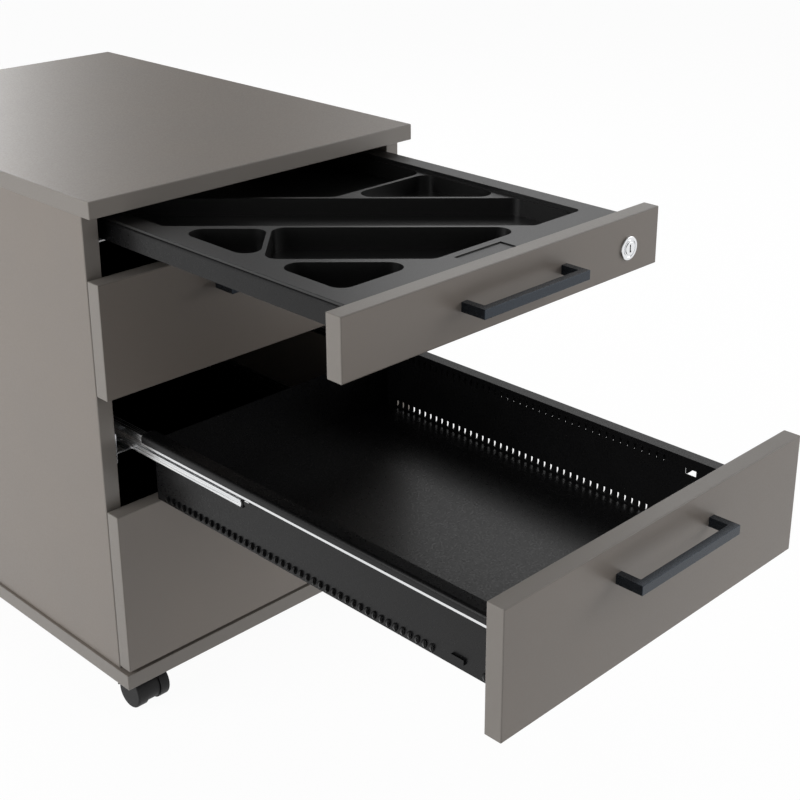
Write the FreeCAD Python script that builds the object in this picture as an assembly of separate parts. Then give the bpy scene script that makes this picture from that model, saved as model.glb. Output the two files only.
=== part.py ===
"""Mobile drawer pedestal: laminated board carcass, four drawers on telescopic rails, central lock, castors.

Millimetres, +Z up, front towards -Y. The origin is on the floor, under the middle of the top panel.
Every drawer is laid out closed and then moved out by its opening: the pencil drawer and the middle
drawer stand open at rest. Heights on a drawer are given from its rim, distances in from the carcass
side are called u, and distances back from the plane of the closed fronts are called y.
"""

import math
import os
from collections import namedtuple

import FreeCAD
import Part

Vector = FreeCAD.Vector

# ---------------------------------------------------------------- overall
WIDTH = 430.0
DEPTH = 600.0
HEIGHT = 599.0
CASTOR_HEIGHT = 53.0

# ---------------------------------------------------------------- boards
BOARD = 18.0
OVERHANG = 3.0  # top and base stand proud of the sides and back
BOARD_EDGE_RADIUS = 1.0
REVEAL = 3.6  # gap above, between and below the fronts
BUFFER_GAP = 1.0  # between the fronts and the side panels

# ---------------------------------------------------------------- drawer fronts and travel
PENCIL_FRONT_HEIGHT = 59.0
DRAWER_FRONT_HEIGHT = 123.0
PENCIL_OPENING = 346.5
MIDDLE_OPENING = 524.5

# ---------------------------------------------------------------- folded steel drawers
SHEET = 1.0
SIDE_GAP = 12.5  # carcass side to the drawer's rim
RIM_WIDTH = 16.5
RIM_BEND_RADIUS = 4.0
RIM_DROP = 8.5  # height of the rim's turned-down edge on a box
RIM_BELOW_FRONT = 40.0  # front's top edge down to a box's rim
FRAME_BELOW_FRONT = 7.8  # the same on the pencil frame
BOX_ABOVE_FRONT_FOOT = 4.8
BACK_WALL_STEP = 10.0  # the back wall is lower than the rim
FRAME_DROP = 22.0  # outer side of the pencil frame
FRAME_LIP = 6.0  # inner side of the pencil frame
FRAME_BRACKET = 20.5  # width of the pencil frame's front brackets

# ---------------------------------------------------------------- slots for cross dividers
SLOT_WIDTH = 2.8
SLOT_HEIGHT = 7.0
SLOT_PITCH = 9.0
SLOT_START = 120.0
SLOT_END_MARGIN = 17.0
FRONT_SLOT_COUNT = 4
FRONT_SLOT_START = 31.5
UPPER_SLOTS_BELOW_RIM = 9.5
LOWER_SLOTS_ABOVE_FOOT = 6.5
HOOK_HOLE_START = 88.5
HOOK_HOLE_LENGTH = 13.0
HOOK_HOLE_HEIGHT = 6.5
HOOK_HOLE_BELOW_RIM = 14.5
LANCE_LENGTH = 15.0
LANCE_HEIGHT = 5.0
LANCE_PROUD = 2.4
LANCE_ABOVE_FOOT = 7.5

# ---------------------------------------------------------------- telescopic rails
RAIL_SHEET = 1.2
BEHIND_RAILS = 59.0  # rails' back ends to the back panel
RAIL_BEYOND_BOX = 3.0  # the drawer member ends behind the drawer
MID_RAIL_SHORTER = 100.0
MID_RAIL_START = 97.0  # from the front plane, drawer closed
RAIL_SETBACK = 1.0  # behind the side panel's front edge
LOCK_RAIL_SETBACK = 21.0  # the same on the pencil drawer, to clear the lock
RIM_TO_RAIL = 0.5
RAIL_PLAY = 0.9  # ball gap between members
RAIL_LIP = 2.6
DRAWER_RAIL_WIDTH = 13.0
DRAWER_RAIL_HEIGHT = 11.3
FOOT_WIDTH = 13.2
FOOT_HEIGHT = 7.0
FOOT_GAP = 2.9  # drawer member down to the intermediate member's foot
RACE_DEPTH = 0.7
RACE_EDGE = 1.6
RACE_SLOPE = 1.0
FIXED_SHEET = 1.5
FIXED_HEAD_PLAY = 0.6
SHELF_GAP = 3.5  # intermediate member down to the fixed member's shelf
FIXED_WEB_RISE = 22.5
FIXED_WEB_DROP = 10.0

# ---------------------------------------------------------------- panel screws
EURO_SCREW_RADIUS = 3.0
EURO_SCREW_LENGTH = 12.0
EURO_HEAD_RADIUS = 4.3
EURO_HEAD_HEIGHT = 1.8
EURO_HEAD_GAP = 1.6  # above the shelf
RAIL_SCREW_INSET = 37.0  # from each end, with one more screw midway
DRIVE_LENGTH = 4.4
DRIVE_WIDTH = 1.0
DRIVE_DEPTH = 0.9
FIT_GAP = 0.3  # round a screw or bolt in its hole

# ---------------------------------------------------------------- cams and dowels
JOINT_INSET = 130.0  # cams from the panel's front and from the back panel
DOWEL_FROM_CAM = 32.0
DOWEL_RADIUS = 4.0
DOWEL_LENGTH = 30.0
BACK_DOWEL_INSET = 76.0
CAM_RADIUS = 7.5
CAM_DEPTH = 12.5
CAM_FROM_EDGE = 34.0
CAM_MOUTH = 8.0
CAM_BOLT_RADIUS = 3.0
CAM_HEAD_RADIUS = 3.6
CAM_HEAD_LENGTH = 2.5
CAM_BOLT_PAST_CENTRE = -0.5
CAM_THREAD_DEPTH = 11.0
CAM_DRIVE_LENGTH = 10.0
CAM_DRIVE_WIDTH = 1.8
CAM_DRIVE_DEPTH = 2.0

# ---------------------------------------------------------------- wood screws
WOOD_SCREW_RADIUS = 1.8
WOOD_SCREW_HEAD_RADIUS = 3.5
WOOD_SCREW_HEAD = 1.4
WOOD_SCREW_LENGTH = 13.0
FRONT_SCREW_FROM_WALL = 22.0
FRONT_SCREW_ABOVE_FOOT = 14.0
FRONT_SCREW_BELOW_RIM = 24.0
BRACKET_SCREW_FROM_SIDE = 4.0
BRACKET_SCREW_ABOVE_FOOT = 5.0

# ---------------------------------------------------------------- handle
HANDLE_LENGTH = 143.0
HANDLE_BAR = 8.0  # seen from above
HANDLE_HEIGHT = 9.4
HANDLE_REACH = 27.5
HANDLE_EDGE_RADIUS = 0.4
HANDLE_BELOW_TOP = 34.0
HANDLE_SCREW_RADIUS = 2.0
HANDLE_SCREW_HEAD_RADIUS = 4.0
HANDLE_SCREW_HEAD = 2.4
HANDLE_BORE = 12.0
HANDLE_SCREW_GAP = 1.0  # left at the end of the bore

# ---------------------------------------------------------------- pencil tray
TRAY_FLANGE = 2.6
TRAY_FLANGE_ROUND = 0.6
TRAY_WALL = 1.8
TRAY_POCKET_DEPTH = 22.6
TRAY_SIDE_MARGIN = 21.0
TRAY_FRONT_MARGIN = 37.4
TRAY_BACK_MARGIN = 28.0
TRAY_BACK_GAP = 2.0
TRAY_STEP = 4.5  # the rear deck lies lower
TRAY_STEP_RADIUS = 7.0
TRAY_LEDGE = 3.0
TRAY_THIN_RIB = 4.4
TRAY_WIDE_RIB = 8.2
TRAY_CORNER_LEG = 102.5
TRAY_CORNER_RADIUS = 14.0
PEN_TROUGH_WIDTH = 92.6
LONG_TROUGH_WIDTH = 106.0
CLIP_POCKET_REACH = 212.6
FINGER_RECESS_WIDTH = 63.2
FINGER_RECESS_LENGTH = 29.0
FINGER_RECESS_DEPTH = 1.2

# ---------------------------------------------------------------- lock
LOCK_FROM_END = 47.0  # from the front's right-hand end
LOCK_BELOW_MIDDLE = 3.0
ROSETTE_RADIUS = 12.0
ROSETTE_HEIGHT = 2.0
ROSETTE_ROUND = 0.8
ROSETTE_GROOVE = 0.9
ROSETTE_GROOVE_DEPTH = 0.7
LOCK_BODY_RADIUS = 9.0
LOCK_BODY_BEHIND = 11.0
LOCK_CORE_RADIUS = 6.5
LOCK_CORE_PROUD = 0.6
LOCK_CORE_ROUND = 0.4
LOCK_PLAY = 0.06
KEY_SLOT_LENGTH = 8.0
KEY_SLOT_WIDTH = 1.6
KEY_SLOT_DEPTH = 9.0
ROD_RADIUS = 2.2
ROD_SOCKET = 6.0
ROD_SEAT_PLAY = 0.3
ROD_SEAT_WIDTH = 12.0
ROD_SEAT_BELOW = 7.0
ROD_SEAT_ABOVE = 2.1  # low enough to pass under the rails
CRANK_LENGTH = 7.0
CRANK_SHEET = 3.0
CRANK_HUB_RADIUS = 2.8
CRANK_EYE_RADIUS = 3.5
CRANK_ANGLE = 225.0  # of the pin at rest: 0 points right, 90 points up, seen from the front
CRANK_PIN_RADIUS = 2.0
CRANK_GAP = 3.0  # crank to the lock bar
CRANK_PIN_BEYOND = 3.0

# ---------------------------------------------------------------- lock bar
BAR_GAP = 8.0  # behind the drawers
BAR_SHEET = 2.0
BAR_WIDTH = 16.0
BAR_FROM_SIDE = 28.0
BAR_ABOVE_BASE = 2.0
BAR_ABOVE_LOCK = 12.0
BAR_PLAY = 0.5
FINGER_WIDTH = 6.0
FINGER_REACH = 10.0
FINGER_HEIGHT = 16.0
FINGER_ARM = 6.0
CATCH_GAP = 1.5  # finger's tip below the catch
CATCH_BELOW_RIM = 30.0
CATCH_PLAY = 1.0
CATCH_EDGE = 2.0  # sheet left round the catch's slot
GUIDE_SHEET = 2.0
GUIDE_EDGE = 4.0
GUIDE_FLANGE = 16.0
GUIDE_SCREW_RISE = 8.0
GUIDE_ABOVE_BASE = 40.0
GUIDE_BELOW_TOP = 95.0

# ---------------------------------------------------------------- castors
CASTOR_INSET_X = 46.0
CASTOR_INSET_Y = 57.0
CASTOR_TRAIL = 17.5
CASTOR_WIDTH = 42.0
WHEEL_RADIUS = 19.0
WHEEL_WIDTH = 12.5
WHEEL_EDGE_RADIUS = 2.0
WHEEL_CAP = 1.8  # closed outer face over the axle's end
AXLE_RADIUS = 3.0
AXLE_PLAY = 0.05
AXLE_END_PLAY = 0.3
WEB_PLAY = 0.5  # between the castor's web and its wheels
WEB_STEP = 1.5  # the web's radius is smaller than the wheels'
WEB_FOOT = 8.0  # the web's lower edge above the floor
HOOD_PLAY = 1.2
HOOD_WALL = 2.0
HOOD_ROUND = 0.8
HOOD_FORWARD = 4.0  # how far the hood reaches in front of the axle
PLATE_SIZE = 38.0
PLATE_SHEET = 2.0
PLATE_CORNER_RADIUS = 4.0
PLATE_SCREW_INSET = 5.0
PLATE_BOSS_RADIUS = 10.0
PLATE_BOSS_HEIGHT = 4.0
STEM_RADIUS = 4.0
STEM_PLAY = 0.05
STEM_END_GAP = 0.3
CASTOR_HEAD_GAP = 0.6

# ---------------------------------------------------------------- places that follow
FRONT_Y = -DEPTH / 2
BASE_TOP = CASTOR_HEIGHT + BOARD
TOP_UNDERSIDE = HEIGHT - BOARD
CARCASS_HALF = WIDTH / 2 - OVERHANG
INNER_HALF = CARCASS_HALF - BOARD
CARCASS_FRONT = FRONT_Y + BOARD + BUFFER_GAP
CARCASS_BACK = DEPTH / 2 - OVERHANG
BACK_PANEL_FRONT = CARCASS_BACK - BOARD
RAIL_END = BACK_PANEL_FRONT - BEHIND_RAILS
RAIL_LENGTH = RAIL_END - RAIL_SETBACK - CARCASS_FRONT
FRONT_BACK = FRONT_Y + BOARD
FREE_HEIGHT = TOP_UNDERSIDE - BASE_TOP - 5 * REVEAL
LOWER_FRONT_HEIGHT = FREE_HEIGHT - PENCIL_FRONT_HEIGHT - 2 * DRAWER_FRONT_HEIGHT
WALL_FACE = INNER_HALF - SIDE_GAP - RIM_WIDTH  # inner face of a drawer's wall
BOX_BACK = FRONT_BACK + SHEET + RAIL_LENGTH - RAIL_BEYOND_BOX
RAIL_MIDDLE = SIDE_GAP + SHEET + RIM_TO_RAIL + DRAWER_RAIL_WIDTH / 2
RAIL_FOOT = SHEET + DRAWER_RAIL_HEIGHT
MID_FOOT_TOP = RAIL_FOOT + FOOT_GAP
SHELF_FOOT = MID_FOOT_TOP + FOOT_HEIGHT + SHELF_GAP + FIXED_SHEET
BAR_Y = BOX_BACK + BAR_GAP
BAR_INNER = INNER_HALF - BAR_FROM_SIDE - BAR_WIDTH
FINGER_X = BAR_INNER - FINGER_REACH + FINGER_WIDTH / 2

Drawer = namedtuple("Drawer", "name front_top front_height rim opening")


def drawer_list():
    """The four drawers from the top down: front, rim height and opening at rest."""
    names = ("pencil", "upper", "middle", "lower")
    heights = (PENCIL_FRONT_HEIGHT, DRAWER_FRONT_HEIGHT, DRAWER_FRONT_HEIGHT, LOWER_FRONT_HEIGHT)
    openings = (PENCIL_OPENING, 0.0, MIDDLE_OPENING, 0.0)
    drawers = []
    top = TOP_UNDERSIDE - REVEAL
    for name, height, opening in zip(names, heights, openings):
        below = FRAME_BELOW_FRONT if name == "pencil" else RIM_BELOW_FRONT
        drawers.append(Drawer(name, top, height, top - below, opening))
        top -= height + REVEAL
    return drawers


# ================================================================ shape helpers
def box(x0, x1, y0, y1, z0, z1):
    """Block between two corners, given in any order."""
    low = Vector(min(x0, x1), min(y0, y1), min(z0, z1))
    return Part.makeBox(abs(x1 - x0), abs(y1 - y0), abs(z1 - z0), low)


def rod(radius, start, end):
    """Cylinder between two points."""
    start, end = Vector(*start), Vector(*end)
    return Part.makeCylinder(radius, (end - start).Length, start, end - start)


def joined(shapes):
    """One solid from touching or overlapping solids."""
    return shapes[0].multiFuse(shapes[1:]).removeSplitter()


def drilled(shape, tools):
    """The shape with every tool cut from it."""
    return shape.cut(Part.makeCompound(tools))


def group(shapes):
    """Separate solids that share a node."""
    return Part.makeCompound(shapes)


def moved(shape, x=0.0, y=0.0, z=0.0):
    """A shifted copy."""
    copy = shape.copy()
    copy.translate(Vector(x, y, z))
    return copy


def rounded(shape, radius, test):
    """The shape with a fillet on each edge whose bounding box passes the test."""
    return shape.makeFillet(radius, [edge for edge in shape.Edges if test(edge.BoundBox)])


def near(first, second):
    """Whether two lengths are the same for choosing an edge."""
    return abs(first - second) < 0.01


def board(x0, x1, y0, y1, z0, z1):
    """A laminated board with its edges eased."""
    shape = box(x0, x1, y0, y1, z0, z1)
    return shape.makeFillet(BOARD_EDGE_RADIUS, shape.Edges)


def side_profile(points, y0, y1, side, rim):
    """A bar along Y whose section is a list of (u, height from the rim)."""
    corners = [Vector(side * (INNER_HALF - u), y0, rim + z) for u, z in points]
    face = Part.Face(Part.makePolygon(corners + corners[:1]))
    return face.extrude(Vector(0, y1 - y0, 0))


def cut_off(corners, x_share, y_share, limit):
    """The convex outline's corners where x_share * x + y_share * y stays within the limit."""
    kept = []
    for i, (x, y) in enumerate(corners):
        last_x, last_y = corners[i - 1]
        over = x_share * x + y_share * y - limit
        last_over = x_share * last_x + y_share * last_y - limit
        if (over > 0) != (last_over > 0):
            share = last_over / (last_over - over)
            kept.append((last_x + share * (x - last_x), last_y + share * (y - last_y)))
        if over <= 0:
            kept.append((x, y))
    return kept


def pocket_corners(left, right, front, back, near_sum=None, far_sum=None, far_difference=None):
    """A rectangle in x and y, cut off by diagonals: x + y from near to far, y - x up to its far value."""
    corners = [(left, front), (right, front), (right, back), (left, back)]
    if near_sum is not None:
        corners = cut_off(corners, -1, -1, -near_sum)
    if far_sum is not None:
        corners = cut_off(corners, 1, 1, far_sum)
    if far_difference is not None:
        corners = cut_off(corners, -1, 1, far_difference)
    return corners


def rounded_outline(corners, radius):
    """A closed outline in the XY plane with an arc at each corner, as large as its shortest edge lets it be."""
    points = [Vector(*corner, 0) for corner in corners]
    count = len(points)
    bends = []
    for i, here in enumerate(points):
        back = (points[i - 1] - here).normalize()
        ahead = (points[(i + 1) % count] - here).normalize()
        bends.append((here, back, ahead, back.getAngle(ahead) / 2))
    for i, (here, _, _, half) in enumerate(bends):
        last, _, _, last_half = bends[i - 1]
        radius = min(radius, 0.95 * (here - last).Length / (1 / math.tan(half) + 1 / math.tan(last_half)))
    arcs = []
    for here, back, ahead, half in bends:
        reach = radius / math.tan(half)
        middle = here + (back + ahead).normalize() * (radius / math.sin(half) - radius)
        arcs.append((here + back * reach, middle, here + ahead * reach))
    edges = []
    for i, (start, middle, end) in enumerate(arcs):
        edges.append(Part.Arc(start, middle, end).toShape())
        edges.append(Part.LineSegment(end, arcs[(i + 1) % count][0]).toShape())
    return Part.Wire(edges)


def slab(outline, z0, z1, grow=0.0):
    """The outline, grown by an offset, as a solid from z0 to z1."""
    wire = outline.makeOffset2D(grow) if grow else outline
    face = Part.Face(wire)
    face.translate(Vector(0, 0, z0))
    return face.extrude(Vector(0, 0, z1 - z0))


# ================================================================ carcass
def joint_lines():
    """Y of the cam bolts in each side panel."""
    return (CARCASS_FRONT + JOINT_INSET, BACK_PANEL_FRONT - JOINT_INSET)


def joint_edges():
    """Height of each joint between a side and the top or base, with the way into the side panel."""
    return ((TOP_UNDERSIDE, -1), (BASE_TOP, 1))


def panel_middle(side):
    """X of a side panel's middle plane."""
    return side * (INNER_HALF + BOARD / 2)


def dowel_places():
    """(x, y) of the upright dowels."""
    places = []
    for side in (-1, 1):
        for y in joint_lines():
            places.append((panel_middle(side), y - DOWEL_FROM_CAM))
            places.append((panel_middle(side), y + DOWEL_FROM_CAM))
    return places


def back_dowel_places():
    """(y, z) of the dowels between the back panel and each side."""
    y = BACK_PANEL_FRONT + BOARD / 2
    middle = (BASE_TOP + TOP_UNDERSIDE) / 2
    return [(y, z) for z in (BASE_TOP + BACK_DOWEL_INSET, middle, TOP_UNDERSIDE - BACK_DOWEL_INSET)]


def upright_dowel(x, y, z):
    half = DOWEL_LENGTH / 2
    return rod(DOWEL_RADIUS, (x, y, z - half), (x, y, z + half))


def cross_dowel(side, y, z):
    half = DOWEL_LENGTH / 2
    return rod(DOWEL_RADIUS, (side * INNER_HALF - half, y, z), (side * INNER_HALF + half, y, z))


def rail_start(drawer):
    """Y of the fixed rail's front end."""
    return CARCASS_FRONT + (LOCK_RAIL_SETBACK if drawer.name == "pencil" else RAIL_SETBACK)


def rail_screw_places(drawer):
    """(y, z) of the screws that hold one fixed rail."""
    z = drawer.rim - SHELF_FOOT + FIXED_SHEET + EURO_HEAD_RADIUS + EURO_HEAD_GAP
    start = rail_start(drawer)
    return [(y, z) for y in (start + RAIL_SCREW_INSET, (start + RAIL_END) / 2, RAIL_END - RAIL_SCREW_INSET)]


def guide_heights():
    """Underside of each lock bar guide."""
    return (BASE_TOP + GUIDE_ABOVE_BASE, TOP_UNDERSIDE - GUIDE_BELOW_TOP)


def guide_screw_place(z):
    """(y, z) of the screw in the guide at height z."""
    return BAR_Y + BAR_SHEET / 2, z + GUIDE_SHEET + GUIDE_SCREW_RISE


def panel_screw_places(side, drawers):
    """(y, z) of every screw hole in one side panel's inner face."""
    places = [place for drawer in drawers for place in rail_screw_places(drawer)]
    if side > 0:
        places += [guide_screw_place(z) for z in guide_heights()]
    return places


def side_panel(side, drawers):
    """Side board with cam, bolt, dowel and screw holes."""
    inner = side * INNER_HALF
    middle = panel_middle(side)
    panel = board(side * CARCASS_HALF, inner, CARCASS_FRONT, CARCASS_BACK, BASE_TOP, TOP_UNDERSIDE)
    tools = []
    for edge, way in joint_edges():
        for y in joint_lines():
            z = edge + way * CAM_FROM_EDGE
            tools.append(rod(CAM_RADIUS, (inner, y, z), (inner + side * CAM_DEPTH, y, z)))
            tools.append(rod(CAM_HEAD_RADIUS + FIT_GAP, (middle, y, edge), (middle, y, z)))
        tools += [upright_dowel(x, y, edge) for x, y in dowel_places() if x * side > 0]
    tools += [cross_dowel(side, y, z) for y, z in back_dowel_places()]
    for y, z in panel_screw_places(side, drawers):
        tools.append(rod(EURO_SCREW_RADIUS, (inner, y, z), (inner + side * EURO_SCREW_LENGTH, y, z)))
    return drilled(panel, tools)


def bolt_and_dowel_holes(edge, way):
    """Holes in the top or base for the sides' cam bolts and dowels."""
    tools = [upright_dowel(x, y, edge) for x, y in dowel_places()]
    for side in (-1, 1):
        x = panel_middle(side)
        for y in joint_lines():
            tools.append(rod(CAM_BOLT_RADIUS, (x, y, edge), (x, y, edge - way * CAM_THREAD_DEPTH)))
    return tools


def top_panel():
    panel = board(-WIDTH / 2, WIDTH / 2, FRONT_Y, DEPTH / 2, TOP_UNDERSIDE, HEIGHT)
    return drilled(panel, bolt_and_dowel_holes(TOP_UNDERSIDE, -1))


def base_panel():
    panel = board(-WIDTH / 2, WIDTH / 2, FRONT_Y, DEPTH / 2, CASTOR_HEIGHT, BASE_TOP)
    tools = bolt_and_dowel_holes(BASE_TOP, 1)
    end = CASTOR_HEIGHT - PLATE_SHEET + WOOD_SCREW_LENGTH
    for x, y in plate_screw_places():
        tools.append(rod(WOOD_SCREW_RADIUS, (x, y, CASTOR_HEIGHT), (x, y, end)))
    return drilled(panel, tools)


def back_panel():
    panel = board(-INNER_HALF, INNER_HALF, BACK_PANEL_FRONT, CARCASS_BACK, BASE_TOP, TOP_UNDERSIDE)
    return drilled(panel, [cross_dowel(side, y, z) for side in (-1, 1) for y, z in back_dowel_places()])


def cam_locks():
    """Round cams in the side panels, each with a mouth towards its bolt and a cross for the driver."""
    cams = []
    half = CAM_MOUTH / 2
    for side in (-1, 1):
        inner = side * INNER_HALF
        middle = panel_middle(side)
        for edge, way in joint_edges():
            z = edge + way * CAM_FROM_EDGE
            for y in joint_lines():
                cam = rod(CAM_RADIUS, (inner, y, z), (inner + side * CAM_DEPTH, y, z))
                mouth = box(middle - half, middle + half, y - half, y + half, z, z - way * 2 * CAM_RADIUS)
                drive = box(inner, inner + side * CAM_DRIVE_DEPTH,
                            y - CAM_DRIVE_LENGTH / 2, y + CAM_DRIVE_LENGTH / 2,
                            z - CAM_DRIVE_WIDTH / 2, z + CAM_DRIVE_WIDTH / 2)
                cams.append(drilled(cam, [mouth, drive]))
    return group(cams)


def cam_bolts():
    """Bolts in the top and base whose heads sit in the cams."""
    bolts = []
    for side in (-1, 1):
        x = panel_middle(side)
        for edge, way in joint_edges():
            tip = edge + way * (CAM_FROM_EDGE + CAM_BOLT_PAST_CENTRE)
            neck = tip - way * CAM_HEAD_LENGTH
            for y in joint_lines():
                shank = rod(CAM_BOLT_RADIUS, (x, y, edge - way * CAM_THREAD_DEPTH), (x, y, neck))
                bolts.append(joined([shank, rod(CAM_HEAD_RADIUS, (x, y, neck), (x, y, tip))]))
    return group(bolts)


def dowels():
    pegs = [upright_dowel(x, y, edge) for x, y in dowel_places() for edge, _ in joint_edges()]
    pegs += [cross_dowel(side, y, z) for side in (-1, 1) for y, z in back_dowel_places()]
    return group(pegs)


# ================================================================ rails
def drawer_rail(side, drawer):
    """Drawer member: a channel that opens downwards, under the drawer's rim."""
    half = DRAWER_RAIL_WIDTH / 2
    t = RAIL_SHEET
    top, foot = -SHEET, -RAIL_FOOT
    right = [(half, top), (half, foot), (half - RAIL_LIP, foot), (half - RAIL_LIP, foot + t),
             (half - t, foot + t), (half - t, top - t)]
    left = [(-u, z) for u, z in reversed(right)]
    points = [(RAIL_MIDDLE + u, z) for u, z in right + left]
    start = FRONT_BACK + SHEET
    rail = side_profile(points, start, start + RAIL_LENGTH, side, drawer.rim)
    x = side * (INNER_HALF - RAIL_MIDDLE + half)
    z = drawer.rim + top
    return rounded(rail, RIM_BEND_RADIUS - SHEET,
                   lambda b: b.YLength > RAIL_LENGTH / 2 and near(b.XMin, x) and near(b.ZMin, z))


def mid_rail(side, drawer):
    """Intermediate member: a head inside the drawer member, a neck, and a foot with pressed ball races."""
    t = RAIL_SHEET
    head = DRAWER_RAIL_WIDTH / 2 - t - RAIL_PLAY
    head_top = -SHEET - t - RAIL_PLAY
    head_foot = -RAIL_FOOT + t + RAIL_PLAY
    foot = FOOT_WIDTH / 2
    race = foot - RACE_DEPTH
    top = -MID_FOOT_TOP
    end = top - FOOT_HEIGHT
    right = [
        (head, head_top), (head, head_foot), (t, head_foot), (t, top), (foot, top),
        (foot, top - RACE_EDGE), (race, top - RACE_EDGE - RACE_SLOPE),
        (race, end + RACE_EDGE + RACE_SLOPE), (foot, end + RACE_EDGE), (foot, end),
        (foot - t - RAIL_LIP, end), (foot - t - RAIL_LIP, end + t), (race - t, end + t), (race - t, top - t),
    ]
    left = [(-u, z) for u, z in reversed(right)]
    points = [(RAIL_MIDDLE + u, z) for u, z in right + left]
    start = FRONT_Y + MID_RAIL_START
    return side_profile(points, start, start + RAIL_LENGTH - MID_RAIL_SHORTER, side, drawer.rim)


def fixed_rail(side, drawer):
    """Cabinet member: a web on the carcass side, and a shelf with a head inside the intermediate member."""
    t = FIXED_SHEET
    neck = RAIL_SHEET
    head = FOOT_WIDTH / 2 - RACE_DEPTH - RAIL_SHEET - FIXED_HEAD_PLAY
    head_top = -MID_FOOT_TOP - RAIL_SHEET - RAIL_PLAY
    head_foot = -MID_FOOT_TOP - FOOT_HEIGHT + RAIL_SHEET + RAIL_PLAY
    shelf = -SHELF_FOOT
    mid = RAIL_MIDDLE
    points = [
        (0.0, shelf + FIXED_WEB_RISE), (t, shelf + FIXED_WEB_RISE), (t, shelf + t), (mid - neck, shelf + t),
        (mid - neck, head_foot), (mid - head, head_foot), (mid - head, head_top), (mid + head, head_top),
        (mid + head, head_foot), (mid + neck, head_foot), (mid + neck, shelf), (t, shelf),
        (t, shelf - FIXED_WEB_DROP), (0.0, shelf - FIXED_WEB_DROP),
    ]
    rail = side_profile(points, rail_start(drawer), RAIL_END, side, drawer.rim)
    inner = side * INNER_HALF
    holes = [rod(EURO_SCREW_RADIUS + FIT_GAP, (inner, y, z), (inner - side * t, y, z))
             for y, z in rail_screw_places(drawer)]
    return drilled(rail, holes)


def panel_screw(side, y, z):
    """A screw in a side panel that clamps one thickness of the fixed member's sheet."""
    inner = side * INNER_HALF
    seat = inner - side * FIXED_SHEET
    face = seat - side * EURO_HEAD_HEIGHT
    shank = rod(EURO_SCREW_RADIUS, (inner + side * EURO_SCREW_LENGTH, y, z), (seat, y, z))
    head = rod(EURO_HEAD_RADIUS, (seat, y, z), (face, y, z))
    along, across = DRIVE_LENGTH / 2, DRIVE_WIDTH / 2
    bottom = face + side * DRIVE_DEPTH
    drive = [box(bottom, face, y - along, y + along, z - across, z + across),
             box(bottom, face, y - across, y + across, z - along, z + along)]
    return drilled(joined([shank, head]), drive)


def panel_screws(drawers):
    return group([panel_screw(side, y, z) for side in (-1, 1) for y, z in panel_screw_places(side, drawers)])


# ================================================================ drawer parts, laid out closed
def box_foot(drawer):
    return drawer.front_top - drawer.front_height + BOX_ABOVE_FRONT_FOOT


def handle_height(drawer):
    if drawer.name == "pencil":
        return drawer.front_top - drawer.front_height / 2
    return drawer.front_top - HANDLE_BELOW_TOP


def handle_screw_places(drawer):
    reach = (HANDLE_LENGTH - HANDLE_BAR) / 2
    return [(side * reach, handle_height(drawer)) for side in (-1, 1)]


def front_screw_places(drawer):
    """(x, z) of the screws that hold the front panel to the drawer's steel."""
    if drawer.name == "pencil":
        x = INNER_HALF - SIDE_GAP - SHEET - BRACKET_SCREW_FROM_SIDE
        heights = (drawer.rim - FRAME_DROP + BRACKET_SCREW_ABOVE_FOOT,)
    else:
        x = WALL_FACE - FRONT_SCREW_FROM_WALL
        heights = (box_foot(drawer) + FRONT_SCREW_ABOVE_FOOT, drawer.rim - FRONT_SCREW_BELOW_RIM)
    return [(side * x, z) for side in (-1, 1) for z in heights]


def lock_place(drawer):
    """(x, z) of the lock's axis."""
    z = drawer.front_top - drawer.front_height / 2 - LOCK_BELOW_MIDDLE
    return CARCASS_HALF - LOCK_FROM_END, z


def front_panel(drawer):
    low = drawer.front_top - drawer.front_height
    panel = board(-CARCASS_HALF, CARCASS_HALF, FRONT_Y, FRONT_BACK, low, drawer.front_top)
    tools = []
    for x, z in handle_screw_places(drawer):
        tools.append(rod(HANDLE_SCREW_RADIUS + FIT_GAP, (x, FRONT_Y, z), (x, FRONT_BACK, z)))
    for x, z in front_screw_places(drawer):
        end = FRONT_BACK + SHEET - WOOD_SCREW_LENGTH
        tools.append(rod(WOOD_SCREW_RADIUS, (x, end, z), (x, FRONT_BACK, z)))
    if drawer.name == "pencil":
        x, z = lock_place(drawer)
        tools.append(rod(LOCK_BODY_RADIUS, (x, FRONT_Y, z), (x, FRONT_BACK, z)))
    return drilled(panel, tools)


def handle(drawer):
    """A square bar bent to a bow, with a tapped bore in each leg."""
    half = HANDLE_LENGTH / 2
    z0 = handle_height(drawer) - HANDLE_HEIGHT / 2
    z1 = z0 + HANDLE_HEIGHT
    face = FRONT_Y - HANDLE_REACH
    parts = [box(-half, half, face, face + HANDLE_BAR, z0, z1)]
    for side in (-1, 1):
        parts.append(box(side * half, side * (half - HANDLE_BAR), face, FRONT_Y, z0, z1))
    bow = rounded(joined(parts), HANDLE_EDGE_RADIUS, lambda b: not near(b.YMin, FRONT_Y))
    bores = [rod(HANDLE_SCREW_RADIUS, (x, FRONT_Y, z), (x, FRONT_Y - HANDLE_BORE, z))
             for x, z in handle_screw_places(drawer)]
    return drilled(bow, bores)


def headed_screw(radius, head_radius, head, x, z, start, seat):
    """A screw along Y from its tip at start to its head behind the seat."""
    shank = rod(radius, (x, start, z), (x, seat, z))
    return joined([shank, rod(head_radius, (x, seat, z), (x, seat + head, z))])


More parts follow.
